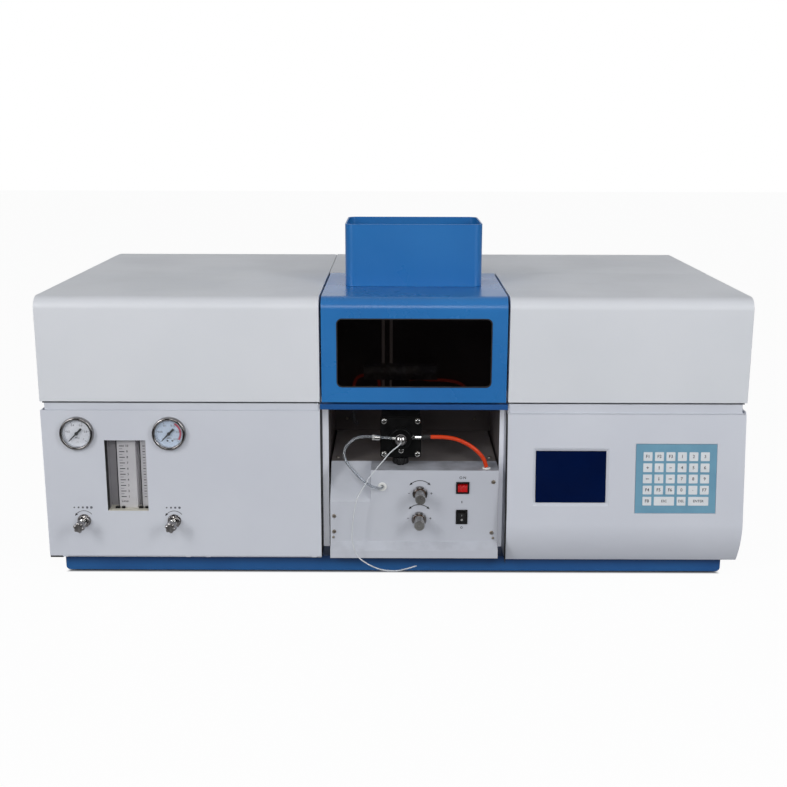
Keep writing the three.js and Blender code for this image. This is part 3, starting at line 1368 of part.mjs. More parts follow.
// Gas inlets and the mains inlet in the back panel
function rearFittings() {
  const back = caseDepth + seat;
  const plateShape = roundedBox(gasInletX, gasInletLevel, inletPlateWidth, inletPlateHeight, inletCorner);
  const plate = alongY(plateShape, back, back + inletPlateThickness);
  const fittings = [-1, 1].map((side) => {
    const profile = [
      [0, -inletBodyDepth], [inletHoleRadius - seat * 2, -inletBodyDepth], [inletHoleRadius - seat * 2, over],
      [barbLip + over, over], [barbLip + over, rearReach * barbShares[0]],
      [barbStem, rearReach * barbShares[0]], [barbStem, rearReach * barbShares[1]],
      [barbLip, rearReach * barbShares[1]], [barbStem, rearReach * barbShares[2]],
      [barbLip, rearReach * barbShares[2]], [barbStem, rearReach], [barbBore, rearReach],
      [barbBore, rearReach * barbShares[0]], [0, rearReach * barbShares[0]],
    ];
    const x = gasInletX + (side * gasInletSpacing) / 2;
    return turned(profile, 'y', x, caseDepth, gasInletLevel, fittingSteps);
  });
  piece('gas_inlets', join(plate, ...fittings), finish('#b9975a', 0.35, 0.9));

  const bodyBox = (inset, y0, y1) => block(
    mainsInletX - mainsBodyWidth / 2 + inset, mainsInletX + mainsBodyWidth / 2 - inset, y0, y1,
    mainsInletLevel - mainsBodyHeight / 2 + inset, mainsInletLevel + mainsBodyHeight / 2 - inset);
  const mainsShape = roundedBox(mainsInletX, mainsInletLevel, mainsPlateWidth, mainsPlateHeight, inletCorner);
  const inlet = cut(
    join(
      alongY(mainsShape, back, back + inletPlateThickness),
      bodyBox(0, caseDepth - mainsBodyDepth, back + inletPlateThickness / 2)),
    bodyBox(mainsWall, caseDepth - mainsBodyDepth + mainsWall, back + inletPlateThickness + over));
  const pins = [-1, 0, 1].map((i) => block(mainsInletX + i * mainsPinSpread - mainsPin / 2,
    mainsInletX + i * mainsPinSpread + mainsPin / 2, caseDepth - mainsBodyDepth + mainsWall / 2,
    caseDepth - mainsBodyDepth + mainsWall + mainsPinLength,
    mainsInletLevel - mainsPinDepth / 2 + (i === 0 ? mainsPin : 0), mainsInletLevel + mainsPinDepth / 2));
  piece('mains_inlet', join(inlet, ...pins), black());
}

plinth();
cabinet('left_cabinet', leftEnd, leftInner);
cabinet('right_cabinet', rightEnd, rightInner);
decks();
rearPanel();
burnerBay();
burnerTray();
gasBoxCover();
sillRail();
leftFrontPanel();
controlConsole();
consoleFittings();
covers();
hood();
gauge('air_gauge', airGaugeX);
gauge('fuel_gauge', fuelGaugeX);
flowmeter('air', airFlowX);
flowmeter('fuel', fuelFlowX);
needleValve('air', airValveX);
needleValve('fuel', fuelValveX);
adjusters();
rockerSwitch('igniter', igniterX, igniterLevel, igniterWidth, igniterHeight, '#b3141c');
rockerSwitch('mains', mainsX, mainsLevel, mainsWidth, mainsHeight, '#17171a');
grommets();
sprayChamber();
nebuliser();
fuelBarb();
drainNut();
burnerHead();
hoses();
lampTurret();
lensTube('lens_tube_left', bayLeft - sheet, -1, lensTubeReach);
lensTube('lens_tube_right', bayRight + sheet, 1, rightTubeReach);
monochromator();
rearFittings();

export default spectrometer;
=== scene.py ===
import json
import math
import random

import bmesh
import bpy
from mathutils import Matrix, Vector


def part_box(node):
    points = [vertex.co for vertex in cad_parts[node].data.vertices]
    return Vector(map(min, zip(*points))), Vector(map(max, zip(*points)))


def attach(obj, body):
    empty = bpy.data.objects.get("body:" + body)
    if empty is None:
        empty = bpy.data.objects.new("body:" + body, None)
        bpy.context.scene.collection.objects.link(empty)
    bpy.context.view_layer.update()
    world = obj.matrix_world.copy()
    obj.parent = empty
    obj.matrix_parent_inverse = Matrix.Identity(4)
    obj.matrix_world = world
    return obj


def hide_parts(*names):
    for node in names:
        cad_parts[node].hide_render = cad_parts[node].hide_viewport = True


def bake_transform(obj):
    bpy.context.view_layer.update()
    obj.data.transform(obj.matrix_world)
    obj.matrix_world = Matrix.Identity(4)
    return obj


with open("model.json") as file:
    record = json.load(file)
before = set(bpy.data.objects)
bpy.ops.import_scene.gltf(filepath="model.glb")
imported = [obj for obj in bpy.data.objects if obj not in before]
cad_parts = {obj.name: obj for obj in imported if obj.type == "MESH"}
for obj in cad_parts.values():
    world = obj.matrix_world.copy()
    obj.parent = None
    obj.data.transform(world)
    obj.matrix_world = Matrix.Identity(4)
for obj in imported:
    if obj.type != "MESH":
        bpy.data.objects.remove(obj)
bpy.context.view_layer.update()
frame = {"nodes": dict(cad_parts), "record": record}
scene = bpy.context.scene

# Sizes are in millimetres and depths are counted from the front plane, as in the drawing
MM = 0.001
FRONT = -262.0
AIR_X, FUEL_X = -458.2, -324.5
GAUGE_LEVEL = 219.3
AIR_VALVE_X, FUEL_VALVE_X = -455.7, -322.7
VALVE_LEVEL = 85.2
AIR_FLOW_X, FUEL_FLOW_X = -397.5, -362.0
CHAMBER_X, CHAMBER_LEVEL = 11.0, 209.0
CROSS_KNOB = (39.5, 129.2)
HEIGHT_KNOB = (38.4, 89.7)
IGNITER = (102.0, 137.6)
MAINS = (101.2, 92.8)
BEAM_DEPTH = 176.5
PRINT = 0.04
OFF_PAINT = -0.02
PARTITION = 221.2
FLOW_WINDOW = (-390, 154.2)
CONSOLE_TOP = 249
KEY_PITCH = 16.6


def at(x, depth, z):
    """A point of the row frame, in metres."""
    return Vector((x, depth + FRONT, z)) * MM


def axes(across, up):
    """A face's axes: X across it, Y up it and Z out of it."""
    across, up = Vector(across), Vector(up)
    return Matrix((across, up, across.cross(up))).transposed().to_4x4()


FRONT_FACE = axes((1, 0, 0), (0, 0, 1))
REAR_FACE = axes((-1, 0, 0), (0, 0, 1))
RIGHT_FACE = axes((0, 1, 0), (0, 0, 1))
TOP_FACE = axes((1, 0, 0), (0, 1, 0))
LEAN_UP = (0, 0.1233, 0.9924)
CONSOLE_FACE = axes((1, 0, 0), LEAN_UP)


shift = Matrix.Translation


def spun(degrees, axis="Z"):
    return Matrix.Rotation(math.radians(degrees), 4, axis)


def site(face, x, depth, z, turn=0.0):
    """Local millimetres on a face at a point, turned about the axis out of the face."""
    return shift(at(x, depth, z)) @ face @ spun(turn) @ Matrix.Scale(MM, 4)


def front(x, z, depth=0.0, turn=0.0):
    return site(FRONT_FACE, x, depth, z, turn)


def console(x, drop, out):
    """A site on the leaning console, drop millimetres down from its top edge."""
    depth = -LEAN_UP[1] * drop - LEAN_UP[2] * out
    height = CONSOLE_TOP - LEAN_UP[2] * drop + LEAN_UP[1] * out
    return site(CONSOLE_FACE, x, depth, height)


# Mesh making

def skin(bm, rings, mark=0):
    """Faces between each ring of corners and the next; a ring of one corner is a pole."""
    for near, far in zip(rings, rings[1:]):
        count = max(len(near), len(far))
        for i in range(count if count > 1 else 0):
            j = (i + 1) % count
            corners = [near[i % len(near)], near[j % len(near)]]
            corners += [far[j % len(far)], far[i % len(far)]]
            bm.faces.new(list(dict.fromkeys(corners))).material_index = mark


def circle(radius, count, x=0.0, y=0.0):
    angles = [i * math.tau / count for i in range(count)]
    return [(x + radius * math.cos(a), y + radius * math.sin(a)) for a in angles]


def ring(bm, place, outline, height):
    return [bm.verts.new(place @ Vector((x, y, height))) for x, y in outline]


def cap(bm, mark, *rings):
    for corners in rings:
        bm.faces.new(corners).material_index = mark


def fill_between(bm, outer, inner):
    """Closes the flat face between two rings."""
    edges = [bm.edges.get((a, b)) for one in (outer, inner) for a, b in zip(one, one[1:] + one[:1])]
    bmesh.ops.triangle_fill(bm, use_beauty=True, use_dissolve=False, edges=edges)


def add_turned(bm, place, profile, mark=0, steps=48):
    """Turns (radius, height) pairs about the local Z axis."""
    closed = profile[0] == profile[-1]
    rings = [
        ring(bm, place, circle(radius, steps if radius > 0 else 1), height)
        for radius, height in (profile[:-1] if closed else profile)
    ]
    skin(bm, rings + rings[:1] if closed else rings, mark)


def add_disc(bm, place, radius, low, high, mark=0, steps=28):
    add_turned(bm, place, [(0, low), (radius, low), (radius, high), (0, high)], mark, steps)


def add_prism(bm, place, outline, low, high, mark=0):
    ends = [ring(bm, place, outline, height) for height in (low, high)]
    skin(bm, ends, mark)
    cap(bm, mark, *ends)


def rounded(width, height, corner, x=0.0, y=0.0, steps=5):
    """Outline of a rectangle with rounded corners about (x, y)."""
    outline = []
    for quarter, (u, v) in enumerate([(1, 1), (-1, 1), (-1, -1), (1, -1)]):
        for i in range(steps + 1):
            angle = (quarter + i / steps) * math.pi / 2
            outline.append((
                x + u * (width / 2 - corner) + corner * math.cos(angle),
                y + v * (height / 2 - corner) + corner * math.sin(angle),
            ))
    return outline


def box_outline(x0, x1, y0, y1):
    return [(x0, y0), (x1, y0), (x1, y1), (x0, y1)]


def fluted(radius, deep, count):
    """Outline of a grip with rounded ribs."""
    outline, steps = [], 6
    for i in range(count * steps):
        reach = radius - deep * (0.5 + 0.5 * math.cos(i * math.tau / steps))
        angle = i * math.tau / (count * steps)
        outline.append((reach * math.cos(angle), reach * math.sin(angle)))
    return outline


def add_ribbed(bm, place, deep, count, stations, mark=0):
    """A ribbed grip through (radius, height, share of the rib depth) stations, closed at both ends."""
    rings = [ring(bm, place, fluted(r, deep * share, count), height) for r, height, share in stations]
    skin(bm, rings, mark)
    cap(bm, mark, rings[0], rings[-1])


def add_screw(bm, place, radius, height):
    """A pan head with a sunk cross."""
    profile = [(1, 0.0), (1, 0.45), (0.93, 0.8), (0.76, 1)]
    rings = [ring(bm, place, circle(radius * r, 24), height * h) for r, h in profile]
    skin(bm, rings)
    cap(bm, 0, rings[0])
    reach, half = radius * 0.56, radius * 0.13
    drive = [(reach, -half), (reach, half), (half, half)]
    for _ in range(3):
        drive += [(-y, x) for x, y in drive[-3:]]
    sunk = [ring(bm, place, drive, h) for h in (height, height * 0.25)]
    skin(bm, sunk)
    cap(bm, 0, sunk[1])
    fill_between(bm, rings[-1], sunk[0])


def route(points, step):
    """A smooth centripetal curve through the points, cut into even steps, in metres."""
    points = [at(*p) for p in points]
    line = [points[0] * 2 - points[1]] + points + [points[-1] * 2 - points[-2]]
    fine = []
    for p0, p1, p2, p3 in zip(line, line[1:], line[2:], line[3:]):
        d0, d1, d2 = [max((b - a).length, 1e-9) ** 0.5 for a, b in ((p0, p1), (p1, p2), (p2, p3))]
        m1 = ((p1 - p0) / d0 - (p2 - p0) / (d0 + d1) + (p2 - p1) / d1) * d1
        m2 = ((p2 - p1) / d1 - (p3 - p1) / (d1 + d2) + (p3 - p2) / d2) * d1
        for i in range(24):
            t = i / 24
            fine.append(
                p1 * (2 * t ** 3 - 3 * t ** 2 + 1) + m1 * (t ** 3 - 2 * t ** 2 + t)
                + p2 * (3 * t ** 2 - 2 * t ** 3) + m2 * (t ** 3 - t ** 2))
    fine.append(points[-1])
    walked = [0.0]
    for a, b in zip(fine, fine[1:]):
        walked.append(walked[-1] + (b - a).length)
    count = max(2, round(walked[-1] / (step * MM)))
    even, k = [], 0
    for i in range(count + 1):
        goal = walked[-1] * i / count
        while k < len(fine) - 2 and walked[k + 1] < goal:
            k += 1
        share = (goal - walked[k]) / max(walked[k + 1] - walked[k], 1e-12)
        even.append(fine[k].lerp(fine[k + 1], min(max(share, 0), 1)))
    return even, walked[-1]


def add_tube(bm, line, radius, sides=16):
    """A round tube along a line in metres; radius is in millimetres, one or one for each point."""
    radii = radius if isinstance(radius, (list, tuple)) else [radius] * len(line)
    ahead = (line[1] - line[0]).normalized()
    side = ahead.orthogonal().normalized()
    rings = []
    for i, point in enumerate(line):
        now = (line[min(i + 1, len(line) - 1)] - line[max(i - 1, 0)]).normalized()
        side = (side - now * side.dot(now)).normalized()
        up = now.cross(side)
        rings.append([
            bm.verts.new(point + (side * x + up * y) * radii[i] * MM) for x, y in circle(1, sides)
        ])
    skin(bm, rings)
    cap(bm, 0, rings[0], rings[-1])


letters = {}


def add_text(bm, place, words, size, mark=0, x=0.0, y=0.0):
    """Raised print, centred on the place."""
    if words not in letters:
        curve = bpy.data.curves.new("print", "FONT")
        curve.body = words
        curve.align_x = curve.align_y = "CENTER"
        curve.extrude = 0.5
        curve.resolution_u = 3
        curve.offset = 0.016
        holder = bpy.data.objects.new("print", curve)
        letters[words] = bpy.data.meshes.new_from_object(holder)
        bpy.data.objects.remove(holder)
        bpy.data.curves.remove(curve)
    mesh = letters[words].copy()
    flat = Matrix.Diagonal((size, size, PRINT, 1))
    mesh.transform(place @ shift((x, y, PRINT / 2)) @ flat)
    known = len(bm.faces)
    bm.from_mesh(mesh)
    bm.faces.ensure_lookup_table()
    for face in bm.faces[known:]:
        face.material_index = mark
    bpy.data.meshes.remove(mesh)


def add_line(bm, place, points, width, mark=0):
    """A printed line through points of the face."""
    points = [Vector(p) for p in points]
    left, right = [], []
    for i, point in enumerate(points):
        ahead = (points[min(i + 1, len(points) - 1)] - points[max(i - 1, 0)]).normalized()
        aside = Vector((-ahead.y, ahead.x)) * width / 2
        left.append(tuple(point + aside))
        right.append(tuple(point - aside))
    add_prism(bm, place, left + right[::-1], 0.0, PRINT, mark)


def arc(radius, start, stop, steps=20):
    angles = [math.radians(start + (stop - start) * i / steps) for i in range(steps + 1)]
    return [(radius * math.cos(a), radius * math.sin(a)) for a in angles]


def add_arrow_head(bm, place, tip, towards, size, mark):
    tip, towards = Vector(tip), Vector(towards).normalized()
    aside = Vector((-towards.y, towards.x)) * size * 0.42
    tail = tip - towards * size
    add_prism(bm, place, [tuple(tip), tuple(tail + aside), tuple(tail - aside)], 0.0, PRINT, mark)


def add_turn_arrow(bm, place, radius, start, stop, width, head, both):
    """A curved arrow; its head is at start, and at stop too where both is true."""
    add_line(bm, place, arc(radius, start, stop), width)
    for angle, way in [(start, -1), (stop, 1)] if both else [(start, -1)]:
        a = math.radians(angle)
        sense = way * (1 if stop > start else -1)
        along = Vector((-math.sin(a), math.cos(a))) * sense
        tip = Vector((math.cos(a), math.sin(a))) * radius + along * head * 0.8
        add_arrow_head(bm, place, tip, along, head, 0)


def piece(name, bm, finishes, body, stands_for=(), bevel=0.0, smooth=38):
    """Turns a mesh into a shown piece that rides on a body."""
    bmesh.ops.recalc_face_normals(bm, faces=bm.faces)
    mesh = bpy.data.meshes.new(name)
    bm.to_mesh(mesh)
    bm.free()
    mesh.polygons.foreach_set("use_smooth", [True] * len(mesh.polygons))
    mesh.set_sharp_from_angle(angle=math.radians(smooth))
    for one in finishes:
        mesh.materials.append(FINISH[one])
    made = bpy.data.objects.new(name, mesh)
    scene.collection.objects.link(made)
    if bevel:
        add_bevel(made, bevel)
    if body:
        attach(made, body)
    if stands_for:
        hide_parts(*stands_for)
    return made


def add_bevel(made, width):
    bevel = made.modifiers.new("edge rounding", "BEVEL")
    bevel.width = width * MM
    bevel.segments = 2
    bevel.limit_method = "ANGLE"
    bevel.angle_limit = math.radians(33)
    bevel.harden_normals = True
    bevel.use_clamp_overlap = True


# Camera, at the photograph's place
def make_camera():
    data = bpy.data.cameras.new("camera")
    data.lens = 52.696
    data.sensor_width = 36
    data.clip_start = 0.05
    data.clip_end = 60
    camera = bpy.data.objects.new("camera", data)
    yaw, roll = (Matrix.Rotation(angle, 4, "Z") for angle in (0.0022, 0.0023))
    camera.matrix_world = shift((0.003875, -1.8721, 0.66443)) @ yaw @ spun(90 - 13.454, "X") @ roll
    scene.collection.objects.link(camera)
    scene.camera = camera


make_camera()


# Finishes

def tone(code):
    """A screen colour in six hex digits, as the shader's linear colour."""
    shades = [int(code[i:i + 2], 16) / 255 for i in (0, 2, 4)]
    return (*[v / 12.92 if v <= 0.04045 else ((v + 0.055) / 1.055) ** 2.4 for v in shades], 1.0)


def add_node(tree, kind, inputs=None, **settings):
    made = tree.nodes.new("ShaderNode" + kind)
    for key, value in settings.items():
        setattr(made, key, value)
    for key, value in (inputs or {}).items():
        if isinstance(value, bpy.types.NodeSocket):
            tree.links.new(value, made.inputs[key])
        else:
            made.inputs[key].default_value = value
    return made


def noise(tree, scale, detail, rough, vector=None):
    if vector is None:
        vector = add_node(tree, "TexCoord").outputs["Object"]
    return add_node(tree, "TexNoise", {
        "Vector": vector, "Scale": scale, "Detail": detail, "Roughness": rough,
    }).outputs["Fac"]


def spread(tree, value, low, high, bottom=0.0, top=1.0):
    return add_node(tree, "MapRange", {
        "Value": value, "From Min": low, "From Max": high, "To Min": bottom, "To Max": top,
    }, interpolation_type="SMOOTHSTEP").outputs["Result"]


def compute(tree, operation, *values):
    return add_node(tree, "Math", dict(enumerate(values)), operation=operation).outputs[0]


def times(tree, a, b):
    return compute(tree, "MULTIPLY", a, b)


def blend(tree, share, first, second):
    return add_node(tree, "Mix", {0: share, 2: first, 3: second}).outputs[0]


def blend_colour(tree, share, first, second):
    return add_node(tree, "Mix", {
        "Factor": share, 6: first, 7: second,
    }, data_type="RGBA").outputs[2]


def make_group(name, inputs, output, build):
    """A node group with one output, which build makes from the group's inputs."""
    tree = bpy.data.node_groups.new(name, "ShaderNodeTree")
    kinds = {True: "NodeSocketColor", False: "NodeSocketFloat"}
    for label, default in inputs.items():
        kind = kinds[isinstance(default, tuple)]
        tree.interface.new_socket(name=label, in_out="INPUT", socket_type=kind).default_value = default
    tree.interface.new_socket(name=output, in_out="OUTPUT", socket_type=kinds[output == "Colour"])
    given = tree.nodes.new("NodeGroupInput").outputs
    tree.links.new(build(tree, given), tree.nodes.new("NodeGroupOutput").inputs[0])
    return tree


def drift(tree, given):
    """Slow drift between two close colours."""
    share = spread(tree, noise(tree, given["Scale"], 4, 0.55), 0.32, 0.68)
    return blend_colour(tree, share, given["First"], given["Second"])


def handling(tree, given):
    """Roughness that varies where hands and cloths have been."""
    slow = noise(tree, given["Scale"], 5, 0.6)
    return spread(tree, slow, 0.35, 0.65, given["Low"], given["High"])


def fine_grain(tree, given):
    """Fine even texture of sprayed paint or moulded plastic."""
    return spread(tree, noise(tree, given["Scale"], 2, 0.5), 0.3, 0.7)


def drawn_lines(tree, given):
    """Long fine scratches along X, as drawn or turned metal has."""
    place = add_node(tree, "TexCoord").outputs["Object"]
    long = add_node(tree, "Mapping", {"Vector": place, "Scale": (0.03, 1.0, 1.0)}).outputs[0]
    return noise(tree, given["Scale"], 3, 0.6, long)


def dust_and_top_shade(tree, given):
    """Dust on faces that look up; in a dark tone it is painted shade on the top faces."""
    normal = add_node(tree, "NewGeometry").outputs["Normal"]
    upward = add_node(tree, "SeparateXYZ", {0: normal}).outputs["Z"]
    lying = spread(tree, upward, 0.6, 1.0)
    patchy = spread(tree, noise(tree, 22.0, 6, 0.6), 0.35, 0.75)
    return times(tree, times(tree, lying, patchy), given["Amount"])


def rubbed_edges(tree, given):
    """Corners rubbed through to another colour."""
    sharp = add_node(tree, "NewGeometry").outputs["Pointiness"]
    broken = spread(tree, noise(tree, 130.0, 5, 0.6), 0.45, 0.62)
    return times(tree, times(tree, spread(tree, sharp, 0.52, 0.6), broken), given["Amount"])


def overhang_shadow(tree, given):
    """Painted shadow on the upper part of a low part, under an overhang."""
    place = add_node(tree, "TexCoord").outputs["Generated"]
    high = add_node(tree, "SeparateXYZ", {0: place}).outputs["Z"]
    return times(tree, spread(tree, high, 0.3, 1.0), given["Amount"])


AMOUNT, SCALE = {"Amount": 0.5}, {"Scale": 900.0}
TWO = {"First": (1, 1, 1, 1), "Second": (0, 0, 0, 1), "Scale": 6.0}
GROUPS = {
    "top": make_group("painted overhang shadow", AMOUNT, "Mask", overhang_shadow),
    "clouds": make_group("colour drift", TWO, "Colour", drift),
    "handling": make_group("handled gloss", {"Low": 0.3, "High": 0.5, "Scale": 9.0}, "Roughness", handling),
    "grain": make_group("fine grain", SCALE, "Height", fine_grain),
    "lines": make_group("drawn lines", SCALE, "Height", drawn_lines),
    "dust_and_shade": make_group("dust and top shade", AMOUNT, "Mask", dust_and_top_shade),
    "wear": make_group("rubbed edges", AMOUNT, "Mask", rubbed_edges),
}


def use_group(tree, group, inputs):
    made = add_node(tree, "Group", node_tree=GROUPS[group])
    for key, value in inputs.items():
        made.inputs[key].default_value = value
    return made.outputs[0]


def finish(first, second, rough, scale, metal=0.0, coat=0.0, coat_rough=0.1, dust_and_shade=0.0,
           dust_and_shade_tone="b0aaa0", wear=0.0, wear_tone="bebebc", grain=0.0, grain_depth=0.02,
           lines=0.0, clear=0.0, ior=1.5, shine=0.5, alpha=None, glow=None, top_shadow_tone=None):
    """A finish with colour drift, handled gloss and, where asked, a painted shadow along the top, dust on faces that
    look up (in a dark tone, painted shade), wear, grain, drawn lines and a glow that is painted light.
    """
    made = bpy.data.materials.new("finish")
    made.use_nodes = True
    tree = made.node_tree
    shader = tree.nodes["Principled BSDF"]
    colour = use_group(tree, "clouds", {"First": tone(first), "Second": tone(second), "Scale": scale})
    # Over the colour: a painted shadow along the top, then wear, then dust, which in a dark tone is painted shade
    for group, amount, over in (
        ("top", 0.9 if top_shadow_tone else 0, top_shadow_tone), ("wear", wear, wear_tone), ("dust_and_shade", dust_and_shade, dust_and_shade_tone),
    ):
        if amount:
            colour = blend_colour(tree, use_group(tree, group, {"Amount": amount}), colour, tone(over))
    tree.links.new(colour, shader.inputs["Base Color"])
    gloss = use_group(tree, "handling", {"Low": rough[0], "High": rough[1], "Scale": scale * 1.7})
    tree.links.new(gloss, shader.inputs["Roughness"])
    for socket, value in {
        "Metallic": metal, "IOR": ior, "Specular IOR Level": shine, "Transmission Weight": clear,
        "Coat Weight": coat, "Coat Roughness": coat_rough,
    }.items():
        shader.inputs[socket].default_value = value
    if grain or lines:
        height = use_group(tree, "lines" if lines else "grain", {"Scale": lines or grain})
        bump = add_node(tree, "Bump", {"Height": height, "Strength": 0.6, "Distance": grain_depth * MM})
        tree.links.new(bump.outputs[0], shader.inputs["Normal"])
    if alpha:
        film = use_group(tree, "handling", {"Low": alpha[0], "High": alpha[1], "Scale": 14.0})
        tree.links.new(film, shader.inputs["Alpha"])
    # A glow is painted light: it brightens parts that are no lamps
    if glow:
        light = use_group(tree, "clouds", {"First": tone(glow[0]), "Second": tone(glow[1]), "Scale": 40.0})
        tree.links.new(light, shader.inputs["Emission Color"])
        shader.inputs["Emission Strength"].default_value = glow[2]
    return made


PAINT = dict(grain=650.0, grain_depth=0.03, coat=0.12, coat_rough=0.25)
FINISH = dict(
    cover_paint=finish("e0e2e7", "dbdee3", (0.38, 0.5), 3, dust_and_shade=0.06, **PAINT),
    panel_paint=finish("d5d8e0", "d0d3dc", (0.4, 0.52), 4, dust_and_shade=0.1, **PAINT),
    blue_paint=finish("2a77bb", "266fb3", (0.26, 0.34), 4, dust_and_shade=0.03, dust_and_shade_tone="7896be", grain=650,
        grain_depth=0.02, shine=0.4, coat=0.06),
    # The plinth's darker top is a painted shadow under the panels' overhang
    plinth_paint=finish("205a94", "1a508a", (0.4, 0.55), 5, dust_and_shade=0.04, dust_and_shade_tone="6e82a0", shine=0.35, grain=650,
        grain_depth=0.03, top_shadow_tone="0a2a54"),
    bay_sheet=finish("867f7e", "787170", (0.42, 0.56), 7, metal=0.15, grain=650, grain_depth=0.02, dust_and_shade=0.15),
    tinted_pane=finish("050303", "030202", (0.05, 0.1), 5, shine=0.12, alpha=(0.62, 0.68)),
    chrome=finish("d6d5d2", "c4c3c1", (0.05, 0.12), 60, metal=1),
    turned_steel=finish("a8a6a3", "94928f", (0.26, 0.38), 50, metal=0.9, grain=1500, grain_depth=0.02, wear=0.4),
    black_enamel=finish("121213", "1a1a1b", (0.3, 0.45), 40, grain=1200),
    clear_block=finish("dedee0", "d6d6d8", (0.04, 0.1), 30, alpha=(0.12, 0.2)),
    black_plastic=finish("0b0b0c", "101011", (0.32, 0.46), 60, grain=1400, grain_depth=0.03, dust_and_shade=0.08, shine=0.35),
    # The red plastic's faint glow is painted light
    red_plastic=finish("bc0e12", "aa090e", (0.2, 0.32), 90, coat=0.15, glow=("c80e0c", "aa0608", 0.08)),
    white_plastic=finish("ececea", "e2e2e0", (0.34, 0.48), 60, grain=1200),
    display=finish("050a22", "04081c", (0.2, 0.3), 12, shine=0.2),
    keypad_film=finish("72a2ba", "6c9bb4", (0.4, 0.52), 30, grain=1800, shine=0.3),
    chamber_plastic=finish("050506", "080808", (0.34, 0.48), 45, grain=1300, grain_depth=0.03, dust_and_shade=0.02,
        shine=0.18),
    titanium=finish("7a706a", "5c585e", (0.26, 0.42), 34, metal=1, lines=900, wear=0.4),
    clear_tube=finish("ced3d8", "bec4ca", (0.05, 0.12), 50, clear=0.86, ior=1.43),
    orange_hose=finish("d83e0c", "ca3609", (0.34, 0.46), 70, grain=900, shine=0.35),
    white_tube=finish("eceef0", "e0e4e8", (0.16, 0.26), 60, clear=0.25, ior=1.35),
    dark_metal=finish("3e3e42", "303034", (0.3, 0.45), 30, metal=0.7, grain=900, wear=0.3),
    cast_aluminium=finish("96989b", "808286", (0.4, 0.58), 18, metal=0.85, grain=420, grain_depth=0.12, dust_and_shade=0.2),
    lamp_glass=finish("e8ecf0", "dee4e9", (0.02, 0.06), 20, clear=0.95, ior=1.47),
    bright_aluminium=finish("c4c6ca", "b0b2b7", (0.2, 0.34), 24, metal=0.95, lines=700, grain_depth=0.01),
    brass=finish("c49e54", "aa8442", (0.2, 0.36), 45, metal=1, wear=0.3, wear_tone="dcbe78"),
    screw=finish("b0aca4", "7e7a74", (0.16, 0.3), 160, metal=1, wear=0.5),
    dark_screw=finish("968c7e", "70685e", (0.3, 0.45), 160, metal=0.75, wear=0.4),
    dial=finish("dcdee4", "d4d6dd", (0.4, 0.5), 50),
    blue_dial=finish("c4d2e4", "bccadd", (0.4, 0.5), 50),
    ink=finish("18181b", "222226", (0.4, 0.55), 200),
    grey_ink=finish("565860", "64666e", (0.4, 0.55), 200),
    key_ink=finish("2e3036", "3a3c42", (0.4, 0.55), 200),
    # Chrome made darker: a painted dark reflection of the room on bezels, valves, nuts and the nebuliser ring
    shaded_chrome=finish("969392", "807d7c", (0.05, 0.1), 60, metal=1),
    gap_shade_grey=finish("606168", "54555c", (0.6, 0.7), 40),
    sill_paint=finish("185696", "144e8c", (0.4, 0.55), 5, shine=0.35, grain=650, grain_depth=0.03),
    # The posts glow: painted light, so that they show behind the tinted pane
    post=finish("c4beba", "b6b0ac", (0.3, 0.4), 24, metal=0.6, glow=("c8b4ac", "beaaa2", 0.14)),
    shade=finish("9e9ca0", "8e8c90", (0.5, 0.6), 14),
    # A darker copy of the bay sheet: painted shade on the bay's back wall under the hood
    shaded_bay_wall=finish("605857", "504848", (0.4, 0.52), 9, metal=0.2, grain=650, dust_and_shade=0.1),
    scale_block=finish("f2f0f3", "eceaee", (0.14, 0.24), 24, alpha=(0.46, 0.54)),
    red_ink=finish("c04e62", "b4445a", (0.4, 0.5), 120),
    key_cap=finish("e2e5e8", "d9dde1", (0.42, 0.52), 60, grain=1800),
    lens=finish("dce2e6", "d2d8de", (0.03, 0.07), 30, alpha=(0.02, 0.05)),
    rubber=finish("0e0e0e", "161616", (0.55, 0.7), 60, grain=800, dust_and_shade=0.2),
    glass_face=finish("02143e", "021036", (0.14, 0.24), 9, shine=0.12),
    scale_card=finish("e4e2e6", "dad8dd", (0.4, 0.5), 14),
    # The gas box cover's dark dust tone on faces that look up is painted shade on its top and slope
    box_paint=finish("c6c9d1", "c0c3cc", (0.42, 0.54), 5, dust_and_shade=0.9, dust_and_shade_tone="8c8e94", **PAINT),
    # The jamb flanges' pale paint is their own; their glow is painted light
    jamb_paint_and_glow=finish("e8eaf0", "e2e4eb", (0.4, 0.52), 6, glow=("c8cbd4", "c2c5ce", 0.3), **PAINT),
    cream=finish("dad6c8", "cecabc", (0.4, 0.55), 40, grain=900),
    bronze=finish("80583a", "62422c", (0.25, 0.4), 90, metal=0.9),
    # The red tubes glow: painted light, so that they show behind the tinted pane
    red_tube=finish("d63c18", "c43012", (0.3, 0.4), 60, glow=("e23c14", "ce2c0e", 0.16)),
    electrode=finish("6e6c6a", "545252", (0.3, 0.45), 90, metal=0.9),
    tin=finish("ced0d4", "bec0c5", (0.2, 0.3), 60, metal=0.8),
)
for title, made in FINISH.items():
    made.name = title.replace("_", " ")


